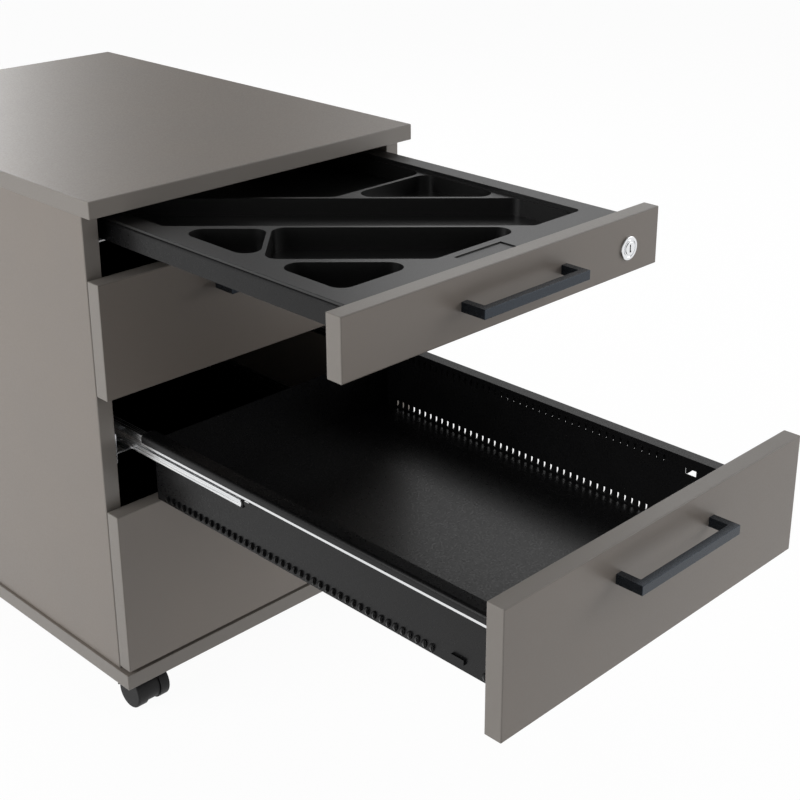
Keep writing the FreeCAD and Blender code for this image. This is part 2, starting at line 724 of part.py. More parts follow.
def drawer_screws(drawer):
    """Handle screws and front panel screws of one drawer."""
    tip = FRONT_Y - HANDLE_BORE + HANDLE_SCREW_GAP
    seat = FRONT_BACK + SHEET
    screws = [headed_screw(HANDLE_SCREW_RADIUS, HANDLE_SCREW_HEAD_RADIUS, HANDLE_SCREW_HEAD,
                           x, z, tip, FRONT_BACK) for x, z in handle_screw_places(drawer)]
    screws += [headed_screw(WOOD_SCREW_RADIUS, WOOD_SCREW_HEAD_RADIUS, WOOD_SCREW_HEAD,
                            x, z, seat - WOOD_SCREW_LENGTH, seat) for x, z in front_screw_places(drawer)]
    return group(screws)


def folded_side(side, drawer, depth, drop):
    """A drawer's wall, flat rim and turned-down outer edge, folded from one sheet."""
    t = SHEET
    outer = SIDE_GAP
    inner = SIDE_GAP + RIM_WIDTH
    points = [
        (inner, -depth), (inner, 0), (outer, 0), (outer, -drop), (outer + t, -drop),
        (outer + t, -t), (inner - t, -t), (inner - t, -depth),
    ]
    fold = side_profile(points, FRONT_BACK, BOX_BACK, side, drawer.rim)
    for u, z, radius in ((outer, 0, RIM_BEND_RADIUS), (outer + t, -t, RIM_BEND_RADIUS - t)):
        x = side * (INNER_HALF - u)
        fold = rounded(fold, radius, lambda b: b.YLength > RAIL_LENGTH / 2 and near(b.XMin, b.XMax)
                       and near(b.XMin, x) and near(b.ZMin, drawer.rim + z))
    return fold


def slot_places(drawer):
    """(y, z) of the divider slots in each wall."""
    rows = (drawer.rim - UPPER_SLOTS_BELOW_RIM, box_foot(drawer) + LOWER_SLOTS_ABOVE_FOOT)
    count = int((BOX_BACK - SLOT_END_MARGIN - FRONT_Y - SLOT_START) / SLOT_PITCH) + 1
    offsets = [SLOT_START + i * SLOT_PITCH for i in range(count)]
    offsets += [FRONT_SLOT_START + i * SLOT_PITCH for i in range(FRONT_SLOT_COUNT)]
    return [(FRONT_Y + offset, z) for z in rows for offset in offsets]


def wall_hole(side, y, z, length, height):
    """A rectangular tool through one drawer wall."""
    return box(side * WALL_FACE, side * (WALL_FACE + SHEET), y - length / 2, y + length / 2,
               z - height / 2, z + height / 2)


def slotted_side(side, drawer):
    """A drawer box's side: folded, slotted, with a hook hole and a lanced stop above the floor."""
    foot = box_foot(drawer)
    outside = side * (WALL_FACE + SHEET)
    hook_y = FRONT_Y + HOOK_HOLE_START
    lance_z = foot + LANCE_ABOVE_FOOT
    lance = box(outside, outside + side * LANCE_PROUD, hook_y - LANCE_LENGTH / 2, hook_y + LANCE_LENGTH / 2,
                lance_z, lance_z + LANCE_HEIGHT)
    holes = [wall_hole(side, y, z, SLOT_WIDTH, SLOT_HEIGHT) for y, z in slot_places(drawer)]
    holes.append(wall_hole(side, hook_y, drawer.rim - HOOK_HOLE_BELOW_RIM, HOOK_HOLE_LENGTH, HOOK_HOLE_HEIGHT))
    return drilled(joined([folded_side(side, drawer, drawer.rim - foot, RIM_DROP), lance]), holes)


def drawer_box(drawer):
    """Steel drawer: two folded sides with a floor, a front and a back with the lock's catch welded between them."""
    foot = box_foot(drawer)
    floor = box(-WALL_FACE, WALL_FACE, FRONT_BACK + SHEET, BOX_BACK - SHEET, foot, foot + SHEET)
    front = box(-WALL_FACE, WALL_FACE, FRONT_BACK, FRONT_BACK + SHEET, foot, drawer.rim)
    back = box(-WALL_FACE, WALL_FACE, BOX_BACK - SHEET, BOX_BACK, foot, drawer.rim - BACK_WALL_STEP)
    sides = [slotted_side(side, drawer) for side in (-1, 1)]
    return group(sides + [floor, drilled(front, front_screw_holes(drawer)), joined([back, catch(drawer)])])


def front_screw_holes(drawer):
    """Clearance holes in the drawer's steel for the front panel screws."""
    return [rod(WOOD_SCREW_RADIUS + FIT_GAP, (x, FRONT_BACK, z), (x, FRONT_BACK + SHEET, z))
            for x, z in front_screw_places(drawer)]


def catch(drawer):
    """Slotted tab behind a drawer that the lock bar's finger enters."""
    z = drawer.rim - CATCH_BELOW_RIM
    half = FINGER_WIDTH / 2 + CATCH_PLAY
    slot_start, slot_end = BAR_Y - CATCH_PLAY, BAR_Y + BAR_SHEET + CATCH_PLAY
    tab = box(FINGER_X - half - CATCH_EDGE, FINGER_X + half + CATCH_EDGE, BOX_BACK - SHEET,
              slot_end + CATCH_EDGE, z, z + SHEET)
    return drilled(tab, [box(FINGER_X - half, FINGER_X + half, slot_start, slot_end, z, z + SHEET)])


def pencil_frame(drawer):
    """Folded steel frame under the pencil tray: two sides, front brackets and a rear rail."""
    rim = drawer.rim
    parts = []
    for side in (-1, 1):
        parts.append(folded_side(side, drawer, FRAME_LIP, FRAME_DROP))
        outer = side * (INNER_HALF - SIDE_GAP)
        parts.append(box(outer, outer - side * FRAME_BRACKET, FRONT_BACK, FRONT_BACK + SHEET,
                         rim - FRAME_DROP, rim - RIM_BEND_RADIUS))
    half = WALL_FACE + SHEET
    parts.append(box(-half, half, BOX_BACK - SHEET, BOX_BACK, rim - CATCH_BELOW_RIM, rim))
    x, z = lock_place(drawer)
    parts.append(box(x - ROD_SEAT_WIDTH / 2, x + ROD_SEAT_WIDTH / 2, BOX_BACK - SHEET, BOX_BACK,
                     z - ROD_SEAT_BELOW, z + ROD_SEAT_ABOVE))
    parts.append(catch(drawer))
    holes = front_screw_holes(drawer)
    holes.append(rod(LOCK_BODY_RADIUS + FIT_GAP, (x, FRONT_BACK, z), (x, FRONT_BACK + SHEET, z)))
    holes.append(rod(ROD_RADIUS + ROD_SEAT_PLAY, (x, BOX_BACK - SHEET, z), (x, BOX_BACK, z)))
    return drilled(joined(parts), holes)


# ================================================================ pencil tray
def tray_outlines():
    """Corners of the pockets at full height, of those in the lower deck, and of that deck, in x and y."""
    left = -(INNER_HALF - SIDE_GAP - TRAY_SIDE_MARGIN)
    front = BOARD + TRAY_FRONT_MARGIN
    back = BOX_BACK - TRAY_BACK_GAP - TRAY_BACK_MARGIN - FRONT_Y
    diagonal = math.sqrt(2)

    # Every diagonal rib crosses the tray from the front right to the back left, where x + y is constant.
    corner_sum = left + front + TRAY_CORNER_LEG
    pen_near = corner_sum + TRAY_WIDE_RIB * diagonal
    pen_far = pen_near + PEN_TROUGH_WIDTH * diagonal
    pen_end = front - left + TRAY_CORNER_LEG
    deck_sum = pen_far + TRAY_THIN_RIB * diagonal
    long_near = deck_sum + TRAY_LEDGE * diagonal
    long_far = deck_sum + LONG_TROUGH_WIDTH * diagonal
    rear_near = long_far + TRAY_THIN_RIB * diagonal
    small_far = deck_sum - TRAY_WIDE_RIB * diagonal

    upper = [
        pocket_corners(left, -left, front, back, far_sum=corner_sum),
        pocket_corners(left, -left, front, back, pen_near, pen_far, pen_end),
        cut_off(pocket_corners(left, -left, front, back, far_sum=small_far), 1, -1,
                -pen_end - TRAY_THIN_RIB * diagonal),
    ]
    deck_left, deck_right = left + TRAY_LEDGE, -left - TRAY_LEDGE
    deck_front, deck_back = front + TRAY_LEDGE, back - TRAY_LEDGE
    clip_back = front + CLIP_POCKET_REACH
    rear_front = clip_back + TRAY_THIN_RIB
    lower = [
        pocket_corners(deck_left, deck_right, deck_front, deck_back, long_near, long_far),
        pocket_corners(deck_left, deck_right, deck_front, clip_back, rear_near),
        pocket_corners(deck_left, deck_right, rear_front, deck_back, rear_near),
    ]
    return upper, lower, pocket_corners(left, -left, front, back, deck_sum)


def pencil_tray(drawer):
    """Thin moulded tray: a flange on the frame, pockets below it, and a rear deck one step down."""
    upper, lower, deck_corners = tray_outlines()
    bottom = drawer.rim
    top = bottom + TRAY_FLANGE
    deck = top - TRAY_STEP
    floor = top - TRAY_POCKET_DEPTH
    half = INNER_HALF - SIDE_GAP
    plate = box(-half, half, BOARD, BOX_BACK - FRONT_Y - TRAY_BACK_GAP, bottom, top)
    plate = rounded(plate, TRAY_FLANGE_ROUND, lambda b: near(b.ZMin, top))
    deck_outline = rounded_outline(deck_corners, TRAY_STEP_RADIUS)
    solids = [plate, slab(deck_outline, deck - TRAY_FLANGE, top, TRAY_WALL)]
    cuts = [slab(deck_outline, deck, top)]
    for pockets, level in ((upper, top), (lower, deck)):
        for corners in pockets:
            outline = rounded_outline(corners, TRAY_CORNER_RADIUS)
            solids.append(slab(outline, floor - TRAY_WALL, level, TRAY_WALL))
            cuts.append(slab(outline, floor, level))
    half = FINGER_RECESS_WIDTH / 2
    cuts.append(box(-half, half, BOARD, BOARD + FINGER_RECESS_LENGTH, top - FINGER_RECESS_DEPTH, top))
    return moved(drilled(joined(solids), cuts), y=FRONT_Y)


# ================================================================ lock
def lock_back():
    """Y of the lock housing's back face."""
    return FRONT_BACK + LOCK_BODY_BEHIND


def crank_pin(drawer):
    """(x, z) of the crank's pin at rest."""
    x, z = lock_place(drawer)
    angle = math.radians(CRANK_ANGLE)
    return x + CRANK_LENGTH * math.cos(angle), z + CRANK_LENGTH * math.sin(angle)


def lock_housing(drawer):
    """Barrel through the front panel, with a stepped rosette on the outside."""
    x, z = lock_place(drawer)
    face = FRONT_Y - ROSETTE_HEIGHT
    rosette = rod(ROSETTE_RADIUS, (x, face, z), (x, FRONT_Y, z))
    rosette = rounded(rosette, ROSETTE_ROUND, lambda b: near(b.YMax, face))
    groove = rod(LOCK_BODY_RADIUS, (x, face, z), (x, face + ROSETTE_GROOVE_DEPTH, z))
    collar = rod(LOCK_BODY_RADIUS - ROSETTE_GROOVE, (x, face, z), (x, FRONT_Y, z))
    barrel = rod(LOCK_BODY_RADIUS, (x, FRONT_Y, z), (x, lock_back(), z))
    bore = rod(LOCK_CORE_RADIUS + LOCK_PLAY, (x, face, z), (x, lock_back(), z))
    return drilled(joined([drilled(rosette, [groove]), collar, barrel]), [bore])


def lock_core(drawer):
    """Turning core with a stepped key slot and a socket for the rod."""
    x, z = lock_place(drawer)
    face = FRONT_Y - ROSETTE_HEIGHT - LOCK_CORE_PROUD
    core = rod(LOCK_CORE_RADIUS, (x, face, z), (x, lock_back(), z))
    core = rounded(core, LOCK_CORE_ROUND, lambda b: near(b.YMax, face))
    half = KEY_SLOT_LENGTH / 2
    thin = KEY_SLOT_WIDTH / 2
    slot = box(x - thin, x + thin, face, face + KEY_SLOT_DEPTH, z - half, z + half)
    ward = box(x, x + KEY_SLOT_WIDTH, face, face + KEY_SLOT_DEPTH, z - half, z - half + KEY_SLOT_WIDTH)
    socket = rod(ROD_RADIUS, (x, lock_back() - ROD_SOCKET, z), (x, lock_back(), z))
    return drilled(core, [slot, ward, socket])


def lock_rod(drawer):
    """Rod from the core to a crank behind the drawer, whose pin enters the lock bar when it is closed."""
    x, z = lock_place(drawer)
    pin_x, pin_z = crank_pin(drawer)
    end = BAR_Y - CRANK_GAP
    plate = end - CRANK_SHEET
    arm = Part.makeBox(CRANK_LENGTH, CRANK_SHEET, 2 * ROD_RADIUS, Vector(0, 0, -ROD_RADIUS))
    arm.rotate(Vector(0, 0, 0), Vector(0, 1, 0), -CRANK_ANGLE)
    parts = [
        rod(ROD_RADIUS, (x, lock_back() - ROD_SOCKET, z), (x, end, z)),
        rod(CRANK_HUB_RADIUS, (x, plate, z), (x, end, z)),
        moved(arm, x, plate, z),
        rod(CRANK_EYE_RADIUS, (pin_x, plate, pin_z), (pin_x, end, pin_z)),
        rod(CRANK_PIN_RADIUS, (pin_x, plate, pin_z), (pin_x, BAR_Y + BAR_SHEET + CRANK_PIN_BEYOND, pin_z)),
    ]
    return joined(parts)


def lock_bar(drawers):
    """Upright bar behind the drawers: the crank lifts it, and its fingers then hold every drawer."""
    lock_x, lock_z = lock_place(drawers[0])
    pin_x, pin_z = crank_pin(drawers[0])
    back = BAR_Y + BAR_SHEET
    left = FINGER_X - FINGER_WIDTH / 2
    parts = [box(BAR_INNER, BAR_INNER + BAR_WIDTH, BAR_Y, back, BASE_TOP + BAR_ABOVE_BASE, lock_z + BAR_ABOVE_LOCK)]
    for drawer in drawers:
        tip = drawer.rim - CATCH_BELOW_RIM - CATCH_GAP
        foot = tip - FINGER_HEIGHT
        parts.append(box(left, left + FINGER_WIDTH, BAR_Y, back, foot, tip))
        parts.append(box(left, BAR_INNER, BAR_Y, back, foot, foot + FINGER_ARM))
    half = CRANK_PIN_RADIUS + BAR_PLAY
    slot = box(lock_x - CRANK_LENGTH - half, pin_x + half, BAR_Y, back, pin_z - half, pin_z + half)
    return drilled(joined(parts), [slot])


def lock_bar_guides():
    """Angle brackets on the right side panel, slotted round the bar."""
    guides = []
    y0, y1 = BAR_Y - GUIDE_EDGE, BAR_Y + BAR_SHEET + GUIDE_EDGE
    web = INNER_HALF - FIXED_SHEET
    for z in guide_heights():
        shelf = box(BAR_INNER - GUIDE_EDGE, INNER_HALF, y0, y1, z, z + GUIDE_SHEET)
        flange = box(web, INNER_HALF, y0, y1, z, z + GUIDE_FLANGE)
        slot = box(BAR_INNER - BAR_PLAY, BAR_INNER + BAR_WIDTH + BAR_PLAY, BAR_Y - BAR_PLAY,
                   BAR_Y + BAR_SHEET + BAR_PLAY, z, z + GUIDE_SHEET)
        screw_y, screw_z = guide_screw_place(z)
        hole = rod(EURO_SCREW_RADIUS + FIT_GAP, (web, screw_y, screw_z), (INNER_HALF, screw_y, screw_z))
        guides.append(drilled(joined([shelf, flange]), [slot, hole]))
    return group(guides)


# ================================================================ castors
def castor_places():
    """Name to (x, y) of each swivel axis."""
    x = WIDTH / 2 - CASTOR_INSET_X
    y = DEPTH / 2 - CASTOR_INSET_Y
    return {"front_left": (-x, -y), "front_right": (x, -y), "rear_left": (-x, y), "rear_right": (x, y)}


def plate_screw_places():
    """(x, y) of the screws in all four castor plates."""
    reach = PLATE_SIZE / 2 - PLATE_SCREW_INSET
    return [(x + i * reach, y + j * reach) for x, y in castor_places().values() for i in (-1, 1) for j in (-1, 1)]


def castor_plates():
    """Screw-on plates with a bushed boss for the stem."""
    plates = []
    half = PLATE_SIZE / 2
    low = CASTOR_HEIGHT - PLATE_SHEET
    boss_foot = low - PLATE_BOSS_HEIGHT
    screw_holes = [rod(WOOD_SCREW_RADIUS + FIT_GAP, (x, y, low), (x, y, CASTOR_HEIGHT))
                   for x, y in plate_screw_places()]
    for x, y in castor_places().values():
        plate = box(x - half, x + half, y - half, y + half, low, CASTOR_HEIGHT)
        plate = rounded(plate, PLATE_CORNER_RADIUS, lambda b: b.ZLength > PLATE_SHEET / 2)
        boss = rod(PLATE_BOSS_RADIUS, (x, y, boss_foot), (x, y, low))
        bore = rod(STEM_RADIUS, (x, y, boss_foot), (x, y, CASTOR_HEIGHT))
        plates.append(drilled(joined([plate, boss]), [bore] + screw_holes))
    return group(plates)


def castor_screws():
    seat = CASTOR_HEIGHT - PLATE_SHEET
    screws = []
    for x, y in plate_screw_places():
        shank = rod(WOOD_SCREW_RADIUS, (x, y, seat), (x, y, seat + WOOD_SCREW_LENGTH))
        head = rod(WOOD_SCREW_HEAD_RADIUS, (x, y, seat - WOOD_SCREW_HEAD), (x, y, seat))
        screws.append(joined([shank, head]))
    return group(screws)


def castor_frame(x, y):
    """Moulded web between the wheels, with a hood over them and the swivel stem."""
    axle_y = y - CASTOR_TRAIL
    axle_z = WHEEL_RADIUS
    wide = CASTOR_WIDTH / 2
    web = wide - WHEEL_WIDTH - WEB_PLAY
    well = WHEEL_RADIUS + HOOD_PLAY
    outer = well + HOOD_WALL
    head_top = CASTOR_HEIGHT - PLATE_SHEET - PLATE_BOSS_HEIGHT - CASTOR_HEAD_GAP

    disc = rod(WHEEL_RADIUS - WEB_STEP, (x - web, axle_y, axle_z), (x + web, axle_y, axle_z))
    below_foot = box(x - web, x + web, axle_y - outer, axle_y + outer, 0, WEB_FOOT)
    hood = rod(outer, (x - wide, axle_y, axle_z), (x + wide, axle_y, axle_z))
    hood = rounded(hood, HOOD_ROUND, lambda b: near(b.XMin, b.XMax))
    below_axle = box(x - wide, x + wide, axle_y - outer, axle_y + outer, axle_z - outer, axle_z)
    ahead = box(x - wide, x + wide, axle_y - outer, axle_y - HOOD_FORWARD, axle_z, axle_z + outer)
    boss = rod(PLATE_BOSS_RADIUS, (x, y, axle_z), (x, y, head_top))
    stem = rod(STEM_RADIUS - STEM_PLAY, (x, y, axle_z), (x, y, CASTOR_HEIGHT - STEM_END_GAP))
    body = joined([drilled(disc, [below_foot]), drilled(hood, [below_axle, ahead]), boss, stem])

    wells = [rod(well, (x + side * web, axle_y, axle_z), (x + side * wide, axle_y, axle_z)) for side in (-1, 1)]
    bore = rod(AXLE_RADIUS, (x - web, axle_y, axle_z), (x + web, axle_y, axle_z))
    return drilled(body, wells + [bore])


def castor_axle(x, y):
    reach = CASTOR_WIDTH / 2 - WHEEL_CAP - AXLE_END_PLAY
    axle_y = y - CASTOR_TRAIL
    return rod(AXLE_RADIUS, (x - reach, axle_y, WHEEL_RADIUS), (x + reach, axle_y, WHEEL_RADIUS))


def castor_wheel(x, y, side):
    """Wheel with a blind bore that keeps its outer face closed."""
    axle_y = y - CASTOR_TRAIL
    outer = x + side * CASTOR_WIDTH / 2
    inner = outer - side * WHEEL_WIDTH
    wheel = rod(WHEEL_RADIUS, (inner, axle_y, WHEEL_RADIUS), (outer, axle_y, WHEEL_RADIUS))
    wheel = rounded(wheel, WHEEL_EDGE_RADIUS, lambda b: near(b.XMin, outer) and near(b.XMax, outer))
    bore = rod(AXLE_RADIUS + AXLE_PLAY, (inner, axle_y, WHEEL_RADIUS),
               (outer - side * WHEEL_CAP, axle_y, WHEEL_RADIUS))
    return drilled(wheel, [bore])


# ================================================================ all nodes
def carcass_nodes(drawers):
    return {
        "top_panel": top_panel(),
        "base_panel": base_panel(),
        "left_side_panel": side_panel(-1, drawers),
        "right_side_panel": side_panel(1, drawers),
        "back_panel": back_panel(),
        "cam_locks": cam_locks(),
        "cam_bolts": cam_bolts(),
        "dowels": dowels(),
        "left_fixed_rails": group([fixed_rail(-1, drawer) for drawer in drawers]),
        "right_fixed_rails": group([fixed_rail(1, drawer) for drawer in drawers]),
        "panel_screws": panel_screws(drawers),
        "castor_plates": castor_plates(),
        "castor_screws": castor_screws(),
        "lock_bar_guides": lock_bar_guides(),
        "lock_bar": lock_bar(drawers),
    }


def drawer_nodes(drawer):
    """One drawer's nodes, moved out to its opening; the intermediate rails go half as far."""
    nodes = {
        "front": front_panel(drawer),
        "handle": handle(drawer),
        "screws": drawer_screws(drawer),
        "drawer_rails": group([drawer_rail(side, drawer) for side in (-1, 1)]),
    }
    if drawer.name == "pencil":
        nodes["frame"] = pencil_frame(drawer)
        nodes["tray"] = pencil_tray(drawer)
        nodes["lock_housing"] = lock_housing(drawer)
        nodes["lock_core"] = lock_core(drawer)
        nodes["lock_rod"] = lock_rod(drawer)
    else:
        nodes["box"] = drawer_box(drawer)
    placed = {f"{drawer.name}_{name}": moved(shape, y=-drawer.opening) for name, shape in nodes.items()}
    mid_rails = group([mid_rail(side, drawer) for side in (-1, 1)])
    placed[f"{drawer.name}_mid_rails"] = moved(mid_rails, y=-drawer.opening / 2)
    return placed


def castor_nodes():
    nodes = {}
    for name, (x, y) in castor_places().items():
        nodes[f"castor_frame_{name}"] = castor_frame(x, y)
        nodes[f"castor_axle_{name}"] = castor_axle(x, y)
        nodes[f"castor_wheel_{name}_l"] = castor_wheel(x, y, -1)
        nodes[f"castor_wheel_{name}_r"] = castor_wheel(x, y, 1)
    return nodes


def main():
    os.makedirs("parts", exist_ok=True)
    drawers = drawer_list()
    nodes = carcass_nodes(drawers)
    for drawer in drawers:
        nodes.update(drawer_nodes(drawer))
    nodes.update(castor_nodes())
    for name, shape in nodes.items():
        shape.exportStep(f"parts/{name}.step")


main()
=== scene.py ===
"""Looks of a mobile drawer pedestal: laminated boards, coated drawers, plated rails, a lock and castors.

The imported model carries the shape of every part. This file gives each part its finish, adds the small
fittings that are too slight to matter to the mechanism, and sets up the studio and the camera.
"""

from __future__ import annotations

import logging
import math
from dataclasses import dataclass, field
from enum import Enum
from typing import Any, Callable, Iterable

import bmesh
import bpy
from mathutils import Matrix, Vector


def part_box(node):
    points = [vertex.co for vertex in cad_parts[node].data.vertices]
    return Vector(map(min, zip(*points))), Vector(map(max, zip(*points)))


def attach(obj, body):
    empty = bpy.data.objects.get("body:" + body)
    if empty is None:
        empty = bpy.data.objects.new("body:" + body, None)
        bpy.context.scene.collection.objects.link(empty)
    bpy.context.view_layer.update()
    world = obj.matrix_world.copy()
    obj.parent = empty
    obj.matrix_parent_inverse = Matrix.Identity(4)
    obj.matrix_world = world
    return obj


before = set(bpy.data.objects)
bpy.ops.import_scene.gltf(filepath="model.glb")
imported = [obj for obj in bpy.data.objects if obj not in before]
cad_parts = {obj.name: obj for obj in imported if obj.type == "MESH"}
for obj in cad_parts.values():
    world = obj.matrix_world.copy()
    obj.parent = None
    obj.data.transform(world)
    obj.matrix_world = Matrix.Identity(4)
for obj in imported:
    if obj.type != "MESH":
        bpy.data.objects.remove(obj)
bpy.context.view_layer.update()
log = logging.getLogger("pedestal")

MM = 0.001
FACING = 0.9  # how far a normal has to lie along an axis to count as facing it
NEAR = 1e-6  # places closer than this, in metres, are the same
SMOOTH_BELOW = math.radians(40)  # edges flatter than this are shaded smooth
HALF_TURN = Matrix.Rotation(math.pi, 4, "Z")  # takes a pressing on the left wall to the right one


# ---------------------------------------------------------------- colours and nodes
def linear(hex_colour: str) -> tuple[float, float, float, float]:
    """Turns an sRGB hex colour into the linear colour that a shader socket takes.

    Args:
        hex_colour: six digits after a hash sign.

    Returns:
        Red, green, blue and full opacity.
    """
    parts = [int(hex_colour[i:i + 2], 16) / 255 for i in (1, 3, 5)]
    red, green, blue = (c / 12.92 if c <= 0.04045 else ((c + 0.055) / 1.055) ** 2.4 for c in parts)
    return red, green, blue, 1.0


def add_node(tree: bpy.types.NodeTree, kind: str, settings: dict[str, Any] | None = None,
             values: dict[str | int, Any] | None = None,
             links: dict[str | int, bpy.types.NodeSocket] | None = None) -> bpy.types.Node:
    """Adds one shader node with its settings, constants and incoming links.

    Args:
        tree: the material's or world's node tree.
        kind: the node's type name.
        settings: the node's own properties, by name.
        values: constants for its sockets, by socket name or number.
        links: the outputs that feed its sockets, by socket name or number.

    Returns:
        The new node.
    """
    node = tree.nodes.new(kind)
    for key, value in (settings or {}).items():
        setattr(node, key, value)
    for key, value in (values or {}).items():
        node.inputs[key].default_value = value
    for key, source in (links or {}).items():
        tree.links.new(source, node.inputs[key])
    return node


def calculate(tree: bpy.types.NodeTree, operation: str,
              *operands: float | bpy.types.NodeSocket) -> bpy.types.NodeSocket:
    """Adds one maths node.

    Args:
        tree: the material's or world's node tree.
        operation: the node's operation.
        operands: what it works on, each a number or an output.

    Returns:
        The result.
    """
    node = add_node(tree, "ShaderNodeMath", {"operation": operation})
    for place, operand in enumerate(operands):
        if isinstance(operand, (int, float)):
            node.inputs[place].default_value = operand
        else:
            tree.links.new(operand, node.inputs[place])
    return node.outputs[0]


class Axis(Enum):
    """The three axes, by their place in a vector."""

    X = 0
    Y = 1
    Z = 2


# ---------------------------------------------------------------- finishes
@dataclass(frozen=True)
class Finish:
    """What every finish has: a name, a colour and how it takes the light."""

    name: str
    colour: str
    roughness: float
    metallic: float = 0.0
    ior: float = 1.5
    smoother: float = 0.05  # how much less rough the surface pattern makes it
    rougher: float = 0.05  # how much rougher
    relief: float = 0.5  # how much of the pattern's depth shows

    def start(self, name: str | None = None) -> tuple[bpy.types.Material, bpy.types.Node]:
        """Makes the material with its plain constants.

        Args:
            name: the material's name, where it isn't the finish's own.

        Returns:
            The material and its Principled shader.
        """
        material = bpy.data.materials.new(name or self.name)
        material.use_nodes = True
        shader = material.node_tree.nodes["Principled BSDF"]
        shader.inputs["Base Color"].default_value = linear(self.colour)
        shader.inputs["Roughness"].default_value = self.roughness
        shader.inputs["Metallic"].default_value = self.metallic
        if self.metallic < 1.0:
            shader.inputs["IOR"].default_value = self.ior
        return material, shader

    def grain(self, tree: bpy.types.NodeTree, size_mm: float, detail: float = 2.0,
              stretch: tuple[float, float, float] = (1.0, 1.0, 1.0)) -> bpy.types.NodeSocket:
        """Adds a noise pattern of a real size.

        Args:
            tree: the material's node tree.
            size_mm: the pattern's spacing.
            detail: how many finer octaves it has.
            stretch: how much denser it is along each axis.

        Returns:
            The pattern's value, about 0.5 on average.
        """
        coordinates = add_node(tree, "ShaderNodeTexCoord")
        placed = add_node(tree, "ShaderNodeMapping", values={"Scale": stretch},
                          links={"Vector": coordinates.outputs["Object"]})
        noise = add_node(tree, "ShaderNodeTexNoise", values={"Scale": 1 / (size_mm * MM), "Detail": detail},
                         links={"Vector": placed.outputs["Vector"]})
        return noise.outputs["Fac"]

    def remap(self, tree: bpy.types.NodeTree, value: bpy.types.NodeSocket, low: float, high: float,
              start: float = 0.3, end: float = 0.7) -> bpy.types.NodeSocket:
        """Stretches a pattern between two values.

        Args:
            tree: the material's node tree.
            value: the pattern.
            low: the result where the pattern is at start or below.
            high: the result where it is at end or above.
            start: the pattern's lower value.
            end: the pattern's upper value.

        Returns:
            The new value.
        """
        node = add_node(tree, "ShaderNodeMapRange",
                        values={"From Min": start, "From Max": end, "To Min": low, "To Max": high},
                        links={"Value": value})
        return node.outputs["Result"]

    def tint(self, tree: bpy.types.NodeTree, share: bpy.types.NodeSocket, first: str | bpy.types.NodeSocket,
             second: str | bpy.types.NodeSocket) -> bpy.types.NodeSocket:
        """Mixes two colours.

        Args:
            tree: the material's node tree.
            share: how much of the second colour there is.
            first: a hex colour or a colour output.
            second: a hex colour or a colour output.

        Returns:
            The mixed colour.
        """
        node = add_node(tree, "ShaderNodeMix", {"data_type": "RGBA"}, links={0: share})
        for place, colour in ((6, first), (7, second)):
            if isinstance(colour, str):
                node.inputs[place].default_value = linear(colour)
            else:
                tree.links.new(colour, node.inputs[place])
        return node.outputs[2]

    def paint(self, tree: bpy.types.NodeTree, shader: bpy.types.Node, share: bpy.types.NodeSocket,
              first: str | bpy.types.NodeSocket, second: str | bpy.types.NodeSocket) -> None:
        """Gives the shader a mixture of two colours.

        Args:
            tree: the material's node tree.
            shader: the Principled shader.
            share: how much of the second colour there is.
            first: a hex colour or a colour output.
            second: a hex colour or a colour output.
        """
        tree.links.new(self.tint(tree, share, first, second), shader.inputs["Base Color"])

    def scuff(self, tree: bpy.types.NodeTree, shader: bpy.types.Node, pattern: bpy.types.NodeSocket) -> None:
        """Lets a pattern vary the roughness, by as much as the finish says.

        Args:
            tree: the material's node tree.
            shader: the Principled shader.
            pattern: the pattern.
        """
        rough = self.remap(tree, pattern, self.roughness - self.smoother, self.roughness + self.rougher)
        tree.links.new(rough, shader.inputs["Roughness"])

    def emboss(self, tree: bpy.types.NodeTree, shader: bpy.types.Node, height: bpy.types.NodeSocket,
               depth_mm: float) -> None:
        """Feeds a height pattern to the shader's normal.

        Args:
            tree: the material's node tree.
            shader: the Principled shader.
            height: the pattern, from 0 to 1.
            depth_mm: how deep the pattern is.
        """
        bump = add_node(tree, "ShaderNodeBump", values={"Strength": self.relief, "Distance": depth_mm * MM},
                        links={"Height": height})
        tree.links.new(bump.outputs["Normal"], shader.inputs["Normal"])


